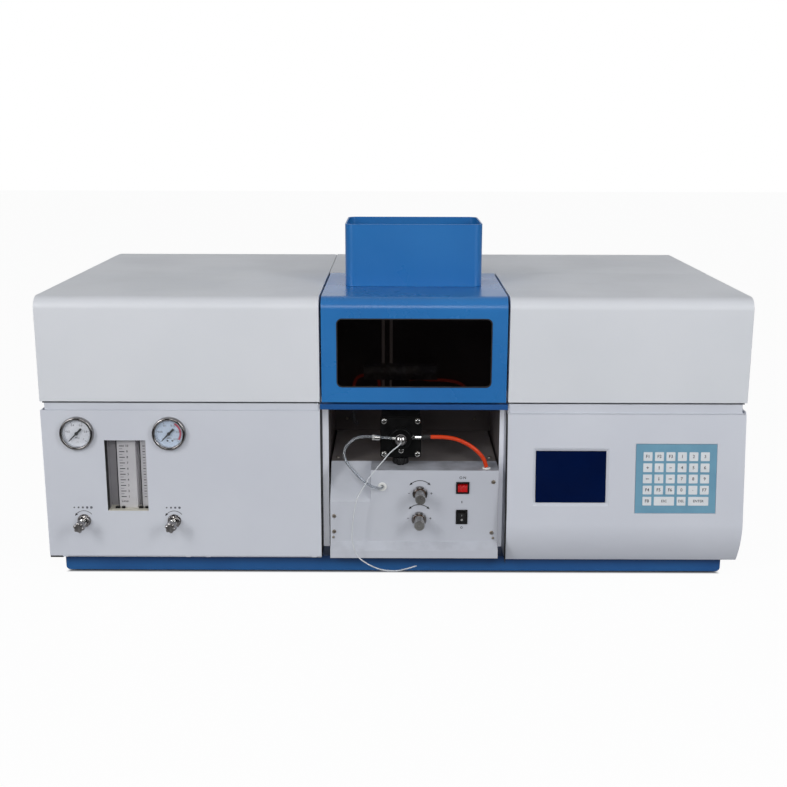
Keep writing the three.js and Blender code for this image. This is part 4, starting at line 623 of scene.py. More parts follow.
# Tubes: the free capillary first, then the two gas hoses
CAPILLARY = [
    (11, -8.7, 209), (11.4, -12, 209.2), (10.5, -14.5, 208.4), (6.6, -17, 205), (-4, -19.5, 196.7),
    (-13.9, -21.5, 185.3), (-22.9, -22.8, 174.5), (-32.9, -24, 162), (-39.8, -25, 150.5), (-46.2, -25.6, 140),
    (-51.3, -26, 130), (-55.2, -26.4, 114.9), (-57.9, -26.7, 96), (-59.4, -27, 68.8), (-56.1, -27, 50.8),
    (-50.4, -27, 39.6), (-38.7, -26.5, 29.8), (-25.5, -26, 22.6), (-15.1, -25, 18.8), (4.3, -23, 16.6),
    (20, -21, 19), (34.9, -19, 23),
]
AIR_HOSE = [
    (-1.2, 4.2, 211.5), (-8, 4.1, 212), (-18, 4, 212.6), (-31.7, 3, 213.9), (-42, 2, 214.3), (-54.2, 0, 212.2),
    (-64, -3, 205.5), (-69.8, -6, 197.8), (-71, -9, 189.9), (-66.3, -14, 179), (-57.8, -18, 169.5),
    (-49.6, -20.5, 161), (-39.6, -20.5, 151.6), (-30, -17, 144.5), (-21.5, -12.5, 140.7), (-16.8, -7.5, 139.3),
    (-15.7, -2.5, 139.1),
]
FUEL_HOSE = [
    (41.6, 11.3, 211), (50, 11.2, 211.5), (56, 11, 211.6), (75.6, 10, 211.4), (93.1, 8.4, 208.6),
    (111.5, 7.9, 199.8), (124.1, 8.4, 189.6), (133.2, 9.8, 177.4), (136.8, 11, 166.4),
]


def make_tubes():
    line, length = route(CAPILLARY, 2.4)
    bm = bmesh.new()
    add_tube(bm, line, 0.9, sides=12)
    made = piece("capillary", bm, ["white_tube"], "burner_lift", ["sample_capillary"], smooth=60)

    line, _ = route(AIR_HOSE, 1.6)
    union = min(range(len(line)), key=lambda i: abs(line[i].x - at(-33.5, 0, 0).x) + (line[i].z < 0.2))
    half = min(range(len(line)), key=lambda i: abs(line[i].z - 0.179) + (line[i].x > -0.05))
    bm = bmesh.new()
    add_tube(bm, line[:union + 1], 2.0)
    piece("air_hose_stub", bm, ["clear_tube"], "burner_lift", ["air_hose"], smooth=60)

    def stretch(name, part):
        """A part of a hose between two bodies; it rides on neither."""
        air = name.startswith("air")
        kind = "clear_tube" if air else "orange_hose"
        bm = bmesh.new()
        add_tube(bm, part, 2.0 if air else 3.0, sides=16 if air else 20)
        made = piece(name, bm, [kind], None, ["air_hose" if air else "fuel_hose"], smooth=60)
        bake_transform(made)

    stretch("air_hose_upper", line[union:half + 1])
    stretch("air_hose_lower", line[half:])
    line, _ = route(FUEL_HOSE, 1.6)
    half = min(range(len(line)), key=lambda i: abs(line[i].x - 0.094))
    stretch("fuel_hose_upper", line[:half + 1])
    stretch("fuel_hose_lower", line[half:])

    # The union on the air hose and the sleeve on the fuel hose
    def along(stations):
        return [at(x, 4 + (x + 18) * 0.073, 211.8 - (x + 18) * 0.095) for x in stations]

    bm = bmesh.new()
    add_tube(bm, along((-31.0, -30.6, -27.6, -27.2)), [4.0, 4.5, 4.5, 4.0], sides=6)
    add_tube(bm, along((-27.2, -26.9, -19.8, -19.4)), [3.8, 4.2, 4.2, 3.8], sides=24)
    piece("air_union", bm, ["chrome"], "burner_lift", bevel=0.15)
    bm = bmesh.new()
    add_tube(bm, [at(x, 11.25, z) for x, z in ((41.2, 211), (41.6, 211), (54.1, 211.5), (54.5, 211.5))],
             [3.3, 3.7, 3.7, 3.3], sides=24)
    piece("fuel_sleeve", bm, ["rubber"], "burner_lift")


make_tubes()


# Gauges

def make_gauge(name, x, node, dial, numbers, coloured):
    place = front(x, GAUGE_LEVEL)
    bm = bmesh.new()
    add_turned(bm, place, [
        (0, -46), (5.2, -46), (6, -45.2), (6, -28), (21.9, -28), (22.5, -27.4), (22.5, 0.3), (24.5, 0.3),
        (24.5, 5.4), (24.3, 6.7), (23.7, 7.6), (22.9, 8.0), (21.7, 8.0), (21.1, 7.7), (20.8, 7.1), (20.6, 6.2),
        (20.2, 1.2), (0, 1.2),
    ], steps=72)
    piece(name + "_case", bm, ["shaded_chrome"], "case", [node])
    bm = bmesh.new()
    add_turned(bm, place, [(20.5, 6.2), (20.1, 1.3), (19.7, 1.3), (20.0, 6.1), (20.5, 6.2)], steps=72)
    piece(name + "_liner", bm, ["tin"], "case")
    bm = bmesh.new()
    card = place @ shift((0, 0, 1.2))
    add_turned(bm, card, [(0, 0.02), (19.9, 0.02), (19.9, 0.16), (1.7, 0.16), (1.7, 2.5), (0, 2.5)], steps=64)
    print_place = place @ shift((0, 0, 1.36))
    for i in range(51):
        angle = math.radians(225 - 270 * i / 50)
        inner = 16.0 if i % 10 == 0 else 17.0 if i % 5 == 0 else 17.7
        ray = Vector((math.cos(angle), math.sin(angle)))
        add_line(bm, print_place, [ray * inner, ray * 18.6], 0.5 if i % 10 == 0 else 0.22, 1)
    add_line(bm, print_place, arc(18.7, 225, -45, 48), 0.22, 1)
    for i, words in enumerate(numbers):
        angle = math.radians(225 - 270 * i / (len(numbers) - 1))
        add_text(bm, print_place, words, 3.9, 3, 12.8 * math.cos(angle), 12.8 * math.sin(angle))
    add_text(bm, print_place, "MPa", 3.6, 3, 0, -7.4)
    add_text(bm, print_place, "1.6", 2.2, 3, 0, -13.4)
    if coloured:
        add_line(bm, print_place, arc(16.4, 60, -36, 24), 2.9, 2)
        for side in (-1, 1):
            add_disc(bm, print_place @ shift((0.7 + side * 3.5, -11.2, 0)), 1.4, 0, PRINT, 1, 16)
    piece(name + "_dial", bm, [dial, "ink", "red_ink", "grey_ink"], "case")
    bm = bmesh.new()
    add_disc(bm, place, 20.55, 6.5, 7.0, steps=64)
    piece(name + "_lens", bm, ["lens"], "case")


make_gauge("air_gauge", AIR_X, "air_gauge", "dial", ["0", "0.2", "0.4", "0.6", "0.8", "1"], False)
make_gauge("fuel_gauge", FUEL_X, "fuel_gauge", "blue_dial", ["0", "0.05", "0.1", "0.15", "0.2", "0.25"], True)


# Flowmeters

def make_flowmeter(name, x, node, low, high, top_value):
    bm = bmesh.new()
    up = site(TOP_FACE, x, 0, 0)
    walls = []
    for outline, levels in ((rounded(23, 22, 0.8, 0, 37, 3), (84.2, 224.2)), (circle(4, 32, 0, 37), (100.2, 224.2))):
        walls.append([ring(bm, up, outline, level) for level in levels])
        skin(bm, walls[-1])
    cap(bm, 0, walls[0][0], walls[1][0])
    fill_between(bm, walls[0][1], walls[1][1])
    piece(name + "_block", bm, ["clear_block"], "case", [node])

    # Scale block in front of the tube, and the fittings at its foot
    bm = bmesh.new()
    add_prism(bm, up, box_outline(low - x, high - x, 13, 25.6), 100.9, 208)
    piece(name + "_scale_block", bm, ["scale_block"], "case", bevel=0.5)
    bm = bmesh.new()
    face = front(low, 0, 12.97)
    # The dark line down the block's left edge is painted shade of its clear side
    add_line(bm, face, [(0.7, 101.2), (0.7, 207.6)], 1.5, 1)
    for i in range(19):
        z = 118 + i * 4.33
        longer = i % 2 == 0
        end = min(12.4 if longer else 9.4, high - low - 3.6)
        add_line(bm, face, [(4.6, z), (end, z)], 1.2 if longer else 0.8, int(longer))
        if longer and high - low > 20:
            add_text(bm, face, format(top_value * (i / 2 + 1) / 10, "g"), 4.8, 1, 16.2, z)
    if high - low > 20:
        add_text(bm, face, "L/min", 4.8, 1, 10, 111)
    piece(name + "_scale", bm, ["grey_ink", "ink"], "case")
    bm = bmesh.new()
    for aside, wide in ((-0.9, 7), (7.6, 5.4)):
        add_prism(bm, up, rounded(wide, 4.4, 2, low - x + aside, 10.4), 101, 104.2)
    piece(name + "_fitting", bm, ["black_plastic"], "case", bevel=0.8)


def make_flow_window():
    make_flowmeter("air_flow", AIR_FLOW_X, "air_flowmeter", -406.8, -378.2, 10)
    make_flowmeter("fuel_flow", FUEL_FLOW_X, "fuel_flowmeter", -372.4, -360.5, 5)
    bm = bmesh.new()
    add_prism(bm, front(*FLOW_WINDOW, 48.3), rounded(84, 126, 2), -1.2, 0)
    piece("flow_backing", bm, ["scale_card"], "case")
    # Liner of the window: black and grey sheets on the left are painted shade of its left wall; cream on its floor
    bm = bmesh.new()
    sides = front(*FLOW_WINDOW)
    add_prism(bm, sides, box_outline(-29.9, -29.4, -53.9, 53.9), -13, -0.6)
    add_prism(bm, sides, box_outline(-29.9, -29.4, -53.9, 53.9), -25.6, -13.1, 2)
    add_prism(bm, sides, box_outline(-29.3, -19.2, -53.1, 53.9), -25.6, -25.0, 2)
    add_prism(bm, sides, box_outline(-29.3, 29.9, -53.9, -53.2), -25.6, -0.8, 1)
    piece("flow_window_shade_and_floor", bm, ["rubber", "cream", "shade"], "case")


make_flow_window()


# Needle valves

def make_valve(name, x, bonnet_node, knob_node, body, dots):
    place = front(x, VALVE_LEVEL)
    bm = bmesh.new()
    add_turned(bm, place, [
        (3.2, -32), (8.6, -32), (9.3, -31.3), (9.3, -2.4), (6.1, -2.4), (6.1, 0.3), (9.8, 0.3), (10, 0.6),
        (10, 1.4), (9.6, 1.8), (8.9, 1.8), (8.9, 2.4), (3.2, 2.4), (3.2, -32),
    ])
    piece(name + "_valve_body", bm, ["shaded_chrome"], "case", [bonnet_node])
    bm = bmesh.new()
    add_prism(bm, place @ spun(14), circle(9.9, 6), 2.4, 6.6)
    piece(name + "_valve_nut", bm, ["shaded_chrome"], "case", bevel=0.5)
    bm = bmesh.new()
    add_turned(bm, place, [
        (0, -17), (3, -17), (3, 7.4), (5.1, 7.4), (5.1, 9.2), (4.1, 9.6), (3.9, 11.5), (4.1, 15.5), (5.2, 18.2),
        (5.2, 20.1), (0, 20.1),
    ], steps=40)
    add_ribbed(bm, place @ spun(12), 1.7, 6, [
        (5.4, 20.1, 0.2), (7.8, 21.0, 1), (8.4, 22.4, 1), (8.4, 31.6, 1), (7.8, 33.2, 1), (6, 34, 0.6),
    ], 1)
    piece(name + "_valve_grip", bm, ["chrome", "shaded_chrome"], body, [knob_node], bevel=0.2)
    bm = bmesh.new()
    face = front(x, VALVE_LEVEL + 0.6, OFF_PAINT)
    add_turn_arrow(bm, face, 14.5, 140, 38, 0.8, 4.8, False)
    for i in range(dots):
        size = 2.3 + i * 0.35
        spot = rounded(size, size, size * 0.3, (i - (dots - 1) / 2) * 6.3 - 1.2, 19.6, 3)
        add_prism(bm, face, spot, 0, PRINT, 1)
    piece(name + "_valve_print", bm, ["ink", "grey_ink"], "case")


make_valve("air", AIR_VALVE_X, "air_valve_bonnet", "air_valve_knob", "air_valve", 5)
make_valve("fuel", FUEL_VALVE_X, "fuel_valve_bonnet", "fuel_valve_knob", "fuel_valve", 4)


# Gas box: adjusters, switches, grommets and prints

def make_gas_box():
    for name, (x, z) in (("cross", CROSS_KNOB), ("height", HEIGHT_KNOB)):
        place = front(x, z)
        bm = bmesh.new()
        add_turned(bm, place, [(4.7, 6.0), (8, 6.0), (8, 6.35), (4.7, 6.35), (4.7, 6.0)], steps=40)
        piece(name + "_bush", bm, ["bronze"], "case", bevel=0.1)
    bm = bmesh.new()
    for (x, z), lift, level in ((CROSS_KNOB, -0.4, -0.6), (HEIGHT_KNOB, 2.1, 0.3)):
        add_turn_arrow(bm, front(x, z + lift, OFF_PAINT), 19.5, 130.6, 49.4, 1.1, 4.8, True)
        face = front(x, z + level, OFF_PAINT)
        add_line(bm, face, [(-17.6, 0), (-14.6, 0)], 0.9, 1)
        add_line(bm, face, [(15.2, 0), (18.4, 0)], 0.9, 1)
        add_line(bm, face, [(16.8, -1.6), (16.8, 1.6)], 0.9, 1)
    for side, letter in ((-1, "O"), (1, "N")):
        add_text(bm, front(IGNITER[0] + side * 2.8, 152.6, OFF_PAINT), letter, 5.6)
    add_line(bm, front(MAINS[0], 115.4, OFF_PAINT), [(0, -1.8), (0, 1.8)], 1.5, 1)
    add_line(bm, front(MAINS[0], 75.8, OFF_PAINT), arc(1.4, 0, 350, 24), 0.9, 1)
    piece("gas_box_prints", bm, ["ink", "grey_ink"], "case")

    # Marks on the two slopes of the mains rocker, which leans by 0.14 at rest
    bm = bmesh.new()
    lean = front(*MAINS, 3) @ Matrix.Rotation(0.14, 4, "X")
    for side, shape in ((1, [(0, -1.3), (0, 1.3)]), (-1, arc(1.1, 0, 350, 20))):
        add_line(bm, lean @ shift((0, side * 3.6, 5.81)) @ spun(9.46 * side, "X"), shape, 0.5)
    piece("mains_marks", bm, ["white_plastic"], "mains_key")

    for name, node, place, lip in [
        ("air_hose_grommet", "air_grommet", front(-15.7, 139.1),
         [(6.1, 1.7), (5, 2.1), (3.6, 2.2), (2.6, 1.6), (2.2, 0.6)]),
        ("fuel_hose_grommet", "fuel_grommet", site(TOP_FACE, 136.8, 11, 163.8),
         [(6.2, 1.6), (5.2, 2.1), (4.2, 2.2), (3.5, 1.7), (3.2, 0.8)]),
    ]:
        bm = bmesh.new()
        bore = (lip[-1][0], -3.4)
        neck = [(6.2, -3.4), (6.4, -3.2), (6.4, -2.2), (4.8, -2.2), (4.8, 0.3), (6.5, 0.3), (6.6, 0.9)]
        add_turned(bm, place, [bore, *neck, *lip, bore])
        piece(name, bm, ["white_plastic"], "case", [node])


make_gas_box()


# Spray chamber fittings

def make_chamber():
    bm = bmesh.new()
    for x in (-13.3, 35.8):
        for z in (184, 233.8):
            place = front(x, z, 16.02, random.Random(x + z).uniform(0, 90))
            add_disc(bm, place, 4.6, 0, 0.6, 1)
            add_screw(bm, place @ shift((0, 0, 0.6)), 3.9, 2.2)
    add_screw(bm, front(11.7, 189.2, 15.98, 20), 3.9, 1.7)
    piece("chamber_screws", bm, ["chrome", "screw"], "burner_lift")
    bm = bmesh.new()
    add_turned(bm, front(CHAMBER_X, CHAMBER_LEVEL, 6.99), [
        (12.6, 0), (15.2, 0), (15.2, 0.5), (14.6, 1), (13.2, 1), (12.6, 0.5), (12.6, 0),
    ], steps=56)
    piece("chamber_ring", bm, ["chamber_plastic"], "burner_lift")
    bm = bmesh.new()
    add_turned(bm, front(CHAMBER_X, CHAMBER_LEVEL), [
        (0, -6.6), (5.2, -6.6), (5.2, -1.7), (6.6, -1.7), (6.6, 2.0), (5.0, 3.3), (3.2, 3.9), (1.7, 4.4),
        (1.6, 8.3), (0, 8.3),
    ], 1, 40)
    add_ribbed(bm, front(CHAMBER_X, CHAMBER_LEVEL), 0.5, 22, [
        (8.2, -5.6, 1), (8.7, -5.2, 1), (8.7, -2.4, 1), (8.2, -1.9, 1),
    ], 1)
    arm = [at(7, 4.3, 211.1), at(-1.2, 4.2, 211.5)]
    add_tube(bm, arm, [2.4, 2.4], sides=18)
    piece("nebuliser_body", bm, ["chrome", "shaded_chrome"], "burner_lift", ["nebuliser"], bevel=0.12)
    bm = bmesh.new()
    side = site(RIGHT_FACE, 27.3, 11.3, 211)
    add_prism(bm, side @ Matrix.Rotation(0.3, 4, "Z"), circle(4.1, 6), 0.05, 4.2)
    add_turned(bm, side, [
        (0, 4.2), (2.4, 4.2), (2.4, 5.2), (3.4, 5.4), (2.5, 8), (3.4, 8.3), (2.5, 11), (3.2, 11.3), (2.3, 14),
        (0, 14),
    ], steps=32)
    piece("fuel_fitting", bm, ["chrome"], "burner_lift", ["fuel_barb"], bevel=0.15)
    bm = bmesh.new()
    down = site(TOP_FACE, CHAMBER_X, 37, 0)
    add_ribbed(bm, down, 0.7, 20, [
        (11, 165, 0.6), (11.9, 165.7, 1), (12, 166.8, 1), (12, 173.6, 1), (11, 175, 0.6),
    ])
    add_turned(bm, down, [
        (0, 149), (3.1, 149), (3.6, 149.6), (3.6, 151.5), (2.9, 152.4), (4, 153.6), (4, 165.02), (0, 165.02),
    ], steps=32)
    piece("drain_cap", bm, ["black_plastic"], "burner_lift", ["drain_nut"], bevel=0.2)


make_chamber()


# Console: display glass, key prints

KEYS = [
    ["F1", "F2", "F3", "1", "2", "3"],
    ["+", "up", "-", "4", "5", "6"],
    ["left", "down", "right", "7", "8", "9"],
    ["F4", "F5", "F6", "0", ".", "F7"],
    ["F8", "ESC", None, "DEL", "ENTER", None],
]


def make_console():
    bm = bmesh.new()
    face = console(258.3, 92.1, -3.0)
    add_prism(bm, face, rounded(101.2, 75.2, 0.6), 0.01, 0.4)
    piece("display_glass", bm, ["glass_face"], "case", bevel=0.2)
    bm = bmesh.new()
    ways = {"up": 90, "down": -90, "left": 180, "right": 0}
    for row, legends in enumerate(KEYS):
        for column, legend in enumerate(legends):
            if legend is None:
                continue
            wide = legend in ("ESC", "ENTER")
            x = 410.6 + (column - 2.5 + (0.5 if wide else 0)) * KEY_PITCH
            place = console(x, 94 + (row - 2) * 16.4, 0.41)
            add_prism(bm, place, rounded(12.9 + (KEY_PITCH if wide else 0), 12.9, 0.9), 0.0, 0.06)
            mark = place @ shift((0, 0, 0.06))
            if legend in ways:
                add_line(bm, mark @ spun(ways[legend]), [(-2.6, 0), (1.2, 0)], 0.9, 1)
                add_arrow_head(bm, mark @ spun(ways[legend]), (2.9, 0), (1, 0), 2.4, 1)
            elif legend in "+-":
                add_line(bm, mark, [(-1.8, 0), (1.8, 0)], 0.9, 1)
                if legend == "+":
                    add_line(bm, mark, [(0, -1.8), (0, 1.8)], 0.9, 1)
            else:
                add_text(bm, mark, legend, 6.4 if len(legend) < 3 else 5.2, 1, 0, 1.2 if legend == "." else 0)
    piece("key_prints", bm, ["key_cap", "key_ink"], "case")
    bm = bmesh.new()
    add_turned(bm, site(RIGHT_FACE, 506.6, 6, 240), [(0, 0), (2.2, 0), (2.2, 2.2), (1.6, 2.8), (0, 2.8)], steps=24)
    piece("console_pin", bm, ["dark_screw"], "case")


make_console()


# Hood window gasket

def make_hood():
    bm = bmesh.new()
    centre = front(29.75, 338)
    outer = rounded(222.6, 100.6, 8.2, steps=8)
    inner = rounded(219.0, 97.0, 6.6, steps=8)
    rings = [ring(bm, centre, *step) for step in ((outer, -1.8), (outer, 0.12), (inner, 0.12), (inner, -1.8))]
    skin(bm, rings + rings[:1])
    piece("window_gasket", bm, ["rubber"], "hood", bevel=0.2)


make_hood()


# Burner: slot lips, and the partition behind it with posts and tubes

RED_TUBES = [
    [(-65, 221, 232), (-64.8, 216, 236), (-64, 214, 244), (-58.7, 213, 254.5), (-47.5, 213, 258.9), (-33, 213, 258.7),
     (-26, 213, 254.5), (-23.5, 214, 244), (-23.3, 214, 228), (-23.3, 216, 220), (-23.3, 221, 216)],
    [(2, 221, 246), (12, 216, 249), (39.5, 214, 253), (58, 214, 251), (81.3, 214, 250.5), (104.7, 214, 246.3),
     (116.2, 214, 238.5), (119, 216, 228), (120, 221, 221)],
]
DRAIN_TUBE = [
    (-65, 221, 226), (-65, 216, 222), (-65, 213, 214), (-65, 212, 200), (-64.8, 212, 188), (-63, 212, 181),
    (-58, 212, 176.8),
]


def make_burner():
    bm = bmesh.new()
    for side in (-1, 1):
        add_prism(bm, site(TOP_FACE, 11, BEAM_DEPTH + side * 2.3, 284.3), rounded(104, 3.2, 0.8), 0.0, 1.0)
    piece("burner_lips", bm, ["titanium"], "burner_lift", bevel=0.3)

    bm = bmesh.new()
    # The partition's darker colour is painted shade
    add_prism(bm, front(0, 0, PARTITION), box_outline(-103.9, 163.4, 163.9, 385.5), -1.2, 0)
    piece("bay_partition", bm, ["shaded_bay_wall"], "case", bevel=0.3)
    bm = bmesh.new()
    # These tubes glow as painted light
    for points in RED_TUBES:
        add_tube(bm, route(points, 2.5)[0], 2.4)
    piece("red_tubes", bm, ["red_tube"], "case", smooth=60)
    bm = bmesh.new()
    add_tube(bm, route(DRAIN_TUBE, 2.5)[0], 3.2)
    piece("drain_tube", bm, ["clear_tube"], "case", smooth=60)
    bm = bmesh.new()
    # These posts glow as painted light
    for x in (-16.8, -4):
        add_turned(bm, site(TOP_FACE, x, 214, 163.9), [(0, 0), (2.4, 0), (2.4, 212), (1.6, 213), (0, 213)], 0, 20)
    piece("back_posts", bm, ["post"], "case", smooth=60)


make_burner()


# Lamps: clear envelope, base and cathode

def make_lamps():
    for name in ("lamp_one", "lamp_two"):
        low, high = ([side / MM for side in corner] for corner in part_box(name))
        place = site(RIGHT_FACE, low[0], (low[1] + high[1]) / 2 - FRONT, (low[2] + high[2]) / 2)
        total = high[0] - low[0]
        bm = bmesh.new()
        add_turned(bm, place, [
            (0, 0), (14, 0), (16.6, 1.2), (17, 3), (17, 31), (16, 32.6), (14, 33.4), (0, 33.4),
        ], 1, 40)
        for x, y in circle(9, 8):
            add_disc(bm, place @ shift((x, y, 0)), 1.2, 0, 6, 2, 12)
        add_turned(bm, place, [
            (15.2, 33.4), (18.4, 36), (19, 39), (19, 120), (18.2, 126), (14, 131), (13, total - 22),
            (14.5, total - 14), (14.5, total - 2), (13.6, total), (0, total), (0, total - 2.2), (13, total - 2.2),
            (13, total - 13), (11.6, total - 22), (12.8, 129.6), (17, 125), (17.6, 120), (17.6, 39), (17, 36.6),
            (14.2, 34.6), (15.2, 33.4),
        ], 0, 40)
        add_turned(bm, place, [
            (0, 33.4), (5, 33.4), (5, 74), (6.5, 75), (6.5, 96), (2.6, 96), (2.6, 80), (0, 80),
        ], 3, 28)
        piece(name + "_tube", bm, ["lamp_glass", "black_plastic", "brass", "electrode"],
              "turret", [name])


make_lamps()


# Screws, grouped by what they hold

def make_screws():
    def screws(name, face, spots, radius, height, material="screw"):
        bm = bmesh.new()
        chance = random.Random(name)
        for spot in spots:
            add_screw(bm, site(face, *spot, chance.uniform(0, 90)), radius, height)
        piece(name, bm, [material], "case")

    screws("gas_box_screws", FRONT_FACE, [
        (x, OFF_PAINT, z) for x, z in ((-86.8, 93.4), (-87, 69.3), (147, 146.5), (145.8, 67.9))
    ], 3.0, 1.5, "dark_screw")
    screws("gas_box_small_screws", FRONT_FACE, [(-88.2, OFF_PAINT, 60.4), (148, OFF_PAINT, 59.6)],
           2.0, 1.2, "dark_screw")
    screws("partition_screws", FRONT_FACE, [(x, PARTITION, z) for x in (-76.4, 132.9) for z in (184, 330)],
           2.4, 1.2, "dark_screw")
    screws("tray_screws", TOP_FACE, [(x, depth, 163.78) for depth in (66, 366) for x in (-84, 146)],
           3.0, 1.4, "dark_screw")
    screws("rear_screws", REAR_FACE, [(x, 531.98, z) for x in (-500, -250, 0, 250, 500) for z in (36, 250)],
           3.4, 1.6)
    screws("inlet_screws", REAR_FACE, [(x, 535, 110) for x in (-367, -293)], 2.4, 1.2)


make_screws()


# Tabs along the foot of the left panel, and dark strips in the gaps

def make_panel_foot():
    bm = bmesh.new()
    for x in (-487, -304.6, -274.4, -116.6):
        add_prism(bm, front(x, 29.6, 2.1), [
            (-4.4, 1), (-4.2, -0.6), (-3, -1.6), (3, -1.6), (4.2, -0.6), (4.4, 1),
        ], 0.0, 1.8)
    piece("panel_tabs", bm, ["panel_paint"], "case", bevel=0.3)
    bm = bmesh.new()
    # A dark strip under the left panel's overhang paints its shade
    add_prism(bm, front(0, 0, 2.2), box_outline(-509.6, -490.6, 27.1, 29.9), 0.0, 1.4)
    # Dark strips in the gap under the covers, which paint its shade, and dark strips beside the bay
    for ends in ((-507.5, -107.5), (167, 507.5)):
        add_prism(bm, front(0, 0, 9), box_outline(*ends, 263.0, 265.7), 0.0, 4.0, 1)
    add_prism(bm, site(TOP_FACE, 0, 0, 0), box_outline(-105.95, -105.55, 1.4, 48.5), 27.3, 252.8)
    lean = [(-18.6, 99.8), (-0.3, 248.6), (22, 248.6), (3.7, 99.8), (3.7, 27.5), (-18.6, 27.5)]
    add_prism(bm, site(RIGHT_FACE, 165.1, 0, 0), lean, 0.0, 0.3)
    piece("dark_strips", bm, ["rubber", "gap_shade_grey"], "case")


make_panel_foot()


# Rubber under the feet

def make_feet():
    bm = bmesh.new()
    for x in (-1, 1):
        for y in (-1, 1):
            place = site(TOP_FACE, x * 458, 262 + y * 220, 0)
            add_turned(bm, place, [
                (20.1, 0.0), (20.9, 0.0), (21.2, 0.6), (21.0, 5.2), (20.1, 5.8), (20.1, 0.0),
            ], steps=40)
    piece("foot_rings", bm, ["rubber"], "case")


make_feet()


# Finishes of the parts that stay as drawn

def dress_parts():
    special = {
        "gas_box_cover": "box_paint", "cross_nut": "shaded_chrome", "height_nut": "shaded_chrome",
        "sill_rail": "sill_paint",
    }
    edge = {"cover_paint": 0.9, "blue_paint": 0.9, "panel_paint": 0.8, "plinth_paint": 0.8}
    for entry in frame["record"]["subparts"]:
        part = frame["nodes"][entry["node"]]
        slot = entry["material_slot"]
        if part.hide_render:
            continue
        part.data.materials.clear()
        part.data.materials.append(FINISH[special.get(entry["node"], slot)])
        if entry["node"] == "burner_bay":
            # The folded front flanges are painted as the panels are, and glow faintly as painted light
            part.data.materials.append(FINISH["jamb_paint_and_glow"])
            rim = at(0, 51.2, 0).y
            for face in part.data.polygons:
                corners = [part.matrix_world @ part.data.vertices[i].co for i in face.vertices]
                face.material_index = int(max(corner.y for corner in corners) < rim)
        part.data.polygons.foreach_set("use_smooth", [True] * len(part.data.polygons))
        weld = part.modifiers.new("weld", "WELD")
        weld.merge_threshold = 0.000002
        clean = part.modifiers.new("flat faces", "DECIMATE")
        clean.decimate_type = "DISSOLVE"
        clean.angle_limit = math.radians(0.5)
        add_bevel(part, edge.get(slot, 0.35))
        level = part.modifiers.new("flat shading", "WEIGHTED_NORMAL")
        level.mode = "FACE_AREA"
        level.weight = 90


dress_parts()


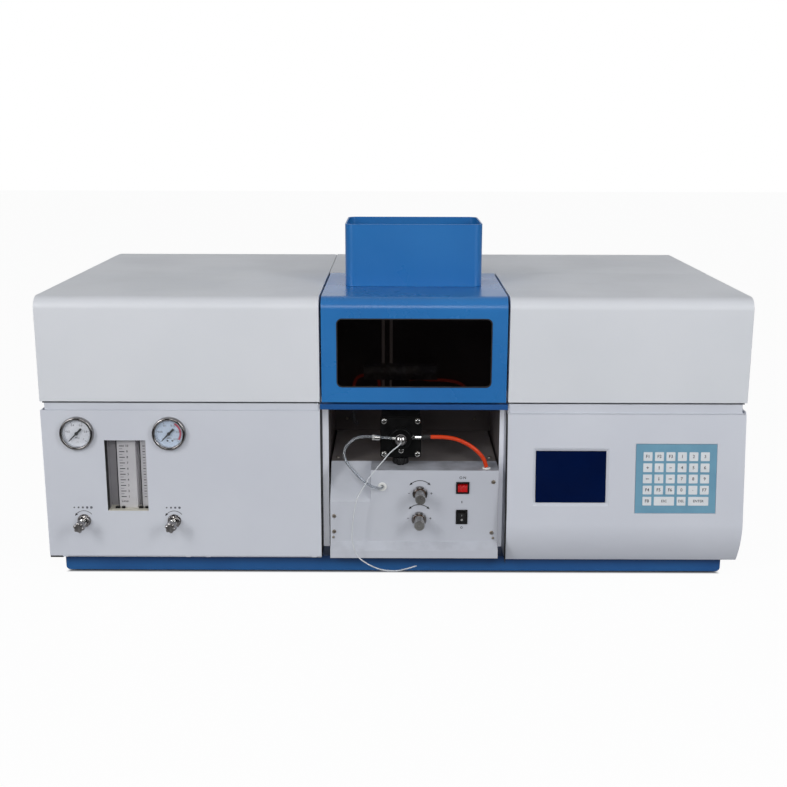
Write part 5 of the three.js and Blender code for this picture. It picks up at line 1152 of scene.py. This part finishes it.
# Floor, light and background: white floor and backdrop, darker room on the camera's side
def make_studio():
    mesh = bpy.data.meshes.new("floor")
    reach = 9.0
    mesh.from_pydata([(-reach, -reach, 0), (reach, -reach, 0), (reach, reach, 0), (-reach, reach, 0)], [],
                     [(0, 1, 2, 3)])
    floor = bpy.data.objects.new("floor", mesh)
    scene.collection.objects.link(floor)
    white = bpy.data.materials.new("floor white")
    white.use_nodes = True
    tree = white.node_tree
    shader = tree.nodes["Principled BSDF"]
    shader.inputs["Roughness"].default_value = 0.9
    shader.inputs["Specular IOR Level"].default_value = 0.1
    place = add_node(tree, "TexCoord").outputs["Object"]
    x, y, _ = add_node(tree, "SeparateXYZ", {0: place}).outputs
    path = add_node(tree, "LightPath")
    ahead = spread(tree, y, -0.75, -0.36, 0.04, 0.8)
    shade = blend(tree, path.outputs["Is Glossy Ray"], 0.5, ahead)
    tree.links.new(shade, shader.inputs["Base Color"])
    # Under the base the floor shows its real shade
    wide = spread(tree, compute(tree, "ABSOLUTE", x), 0.484, 0.492)
    deep = spread(tree, compute(tree, "ABSOLUTE", y), 0.247, 0.253)
    clear = compute(tree, "MAXIMUM", wide, deep)
    plain = add_node(tree, "Emission", {"Color": (1, 1, 1, 1), "Strength": 1.06}).outputs[0]
    lit = times(tree, times(tree, path.outputs["Is Camera Ray"], clear), 0.9)
    mixed = add_node(tree, "MixShader", {0: lit, 1: shader.outputs[0], 2: plain}).outputs[0]
    tree.links.new(mixed, tree.nodes["Material Output"].inputs["Surface"])
    mesh.materials.append(white)

    world = bpy.data.worlds.new("studio")
    scene.world = world
    world.use_nodes = True
    tree = world.node_tree
    tree.nodes.clear()
    way = add_node(tree, "TexCoord").outputs["Generated"]
    x, y, z = add_node(tree, "SeparateXYZ", {0: way}).outputs
    path = add_node(tree, "LightPath")
    height = spread(tree, z, -0.1, 0.95, 0.32, 0.22)
    before = spread(tree, y, -0.9, 0.3, 1.3, 0.8)
    rear = times(tree, spread(tree, y, 0.3, 0.8, 0.0, 1.7), spread(tree, z, 0.1, 0.5, 1.0, 0.0))
    soft = times(tree, height, compute(tree, "ADD", before, rear))
    behind = spread(tree, y, -0.2, 0.8, 0.03, 0.85)
    above = spread(tree, z, 0.6, 0.85, 0.0, 0.6)
    shiny = compute(tree, "MAXIMUM", behind, above)
    # Two tall bright bands, one at each side in front, for rounded corners and plated parts
    aside = compute(tree, "ABSOLUTE", x)
    band = times(tree, spread(tree, aside, 0.5, 0.62), spread(tree, aside, 0.76, 0.88, 1.0, 0.0))
    band = times(tree, band, spread(tree, y, -0.3, 0.1, 3.2, 0.0))
    shiny = compute(tree, "MAXIMUM", shiny, band)
    strength = blend(tree, path.outputs["Is Glossy Ray"], soft, shiny)
    dim = add_node(tree, "Background", {"Color": (0.95, 0.97, 1.0, 1), "Strength": strength}).outputs[0]
    bright = add_node(tree, "Background", {"Color": (1, 1, 1, 1), "Strength": 1.0}).outputs[0]
    mixed = add_node(tree, "MixShader", {0: path.outputs["Is Camera Ray"], 1: dim, 2: bright}).outputs[0]
    out = tree.nodes.new("ShaderNodeOutputWorld")
    tree.links.new(mixed, out.inputs["Surface"])

    def lamp(name, place, size, power, colour=(1, 1, 1)):
        data = bpy.data.lights.new(name, "AREA")
        data.shape = "RECTANGLE"
        data.size, data.size_y = size
        data.energy = power
        data.color = colour
        made = bpy.data.objects.new(name, data)
        made.location = place
        made.rotation_euler = (Vector((0, 0, 0.2)) - Vector(place)).to_track_quat("-Z", "Y").to_euler()
        scene.collection.objects.link(made)

    lamp("left light", (-1.75, -2.3, 1.5), (0.55, 1.4), 22.5)
    lamp("right light", (1.85, -2.3, 1.45), (0.55, 1.4), 21.5, (0.98, 0.99, 1.0))
    lamp("front light", (0, -3.1, 1.7), (1.2, 1.0), 18)
    scene.view_settings.view_transform = "Standard"
    scene.view_settings.look = "None"
    scene.view_settings.exposure = 0.0
    scene.view_settings.gamma = 1.0


make_studio()
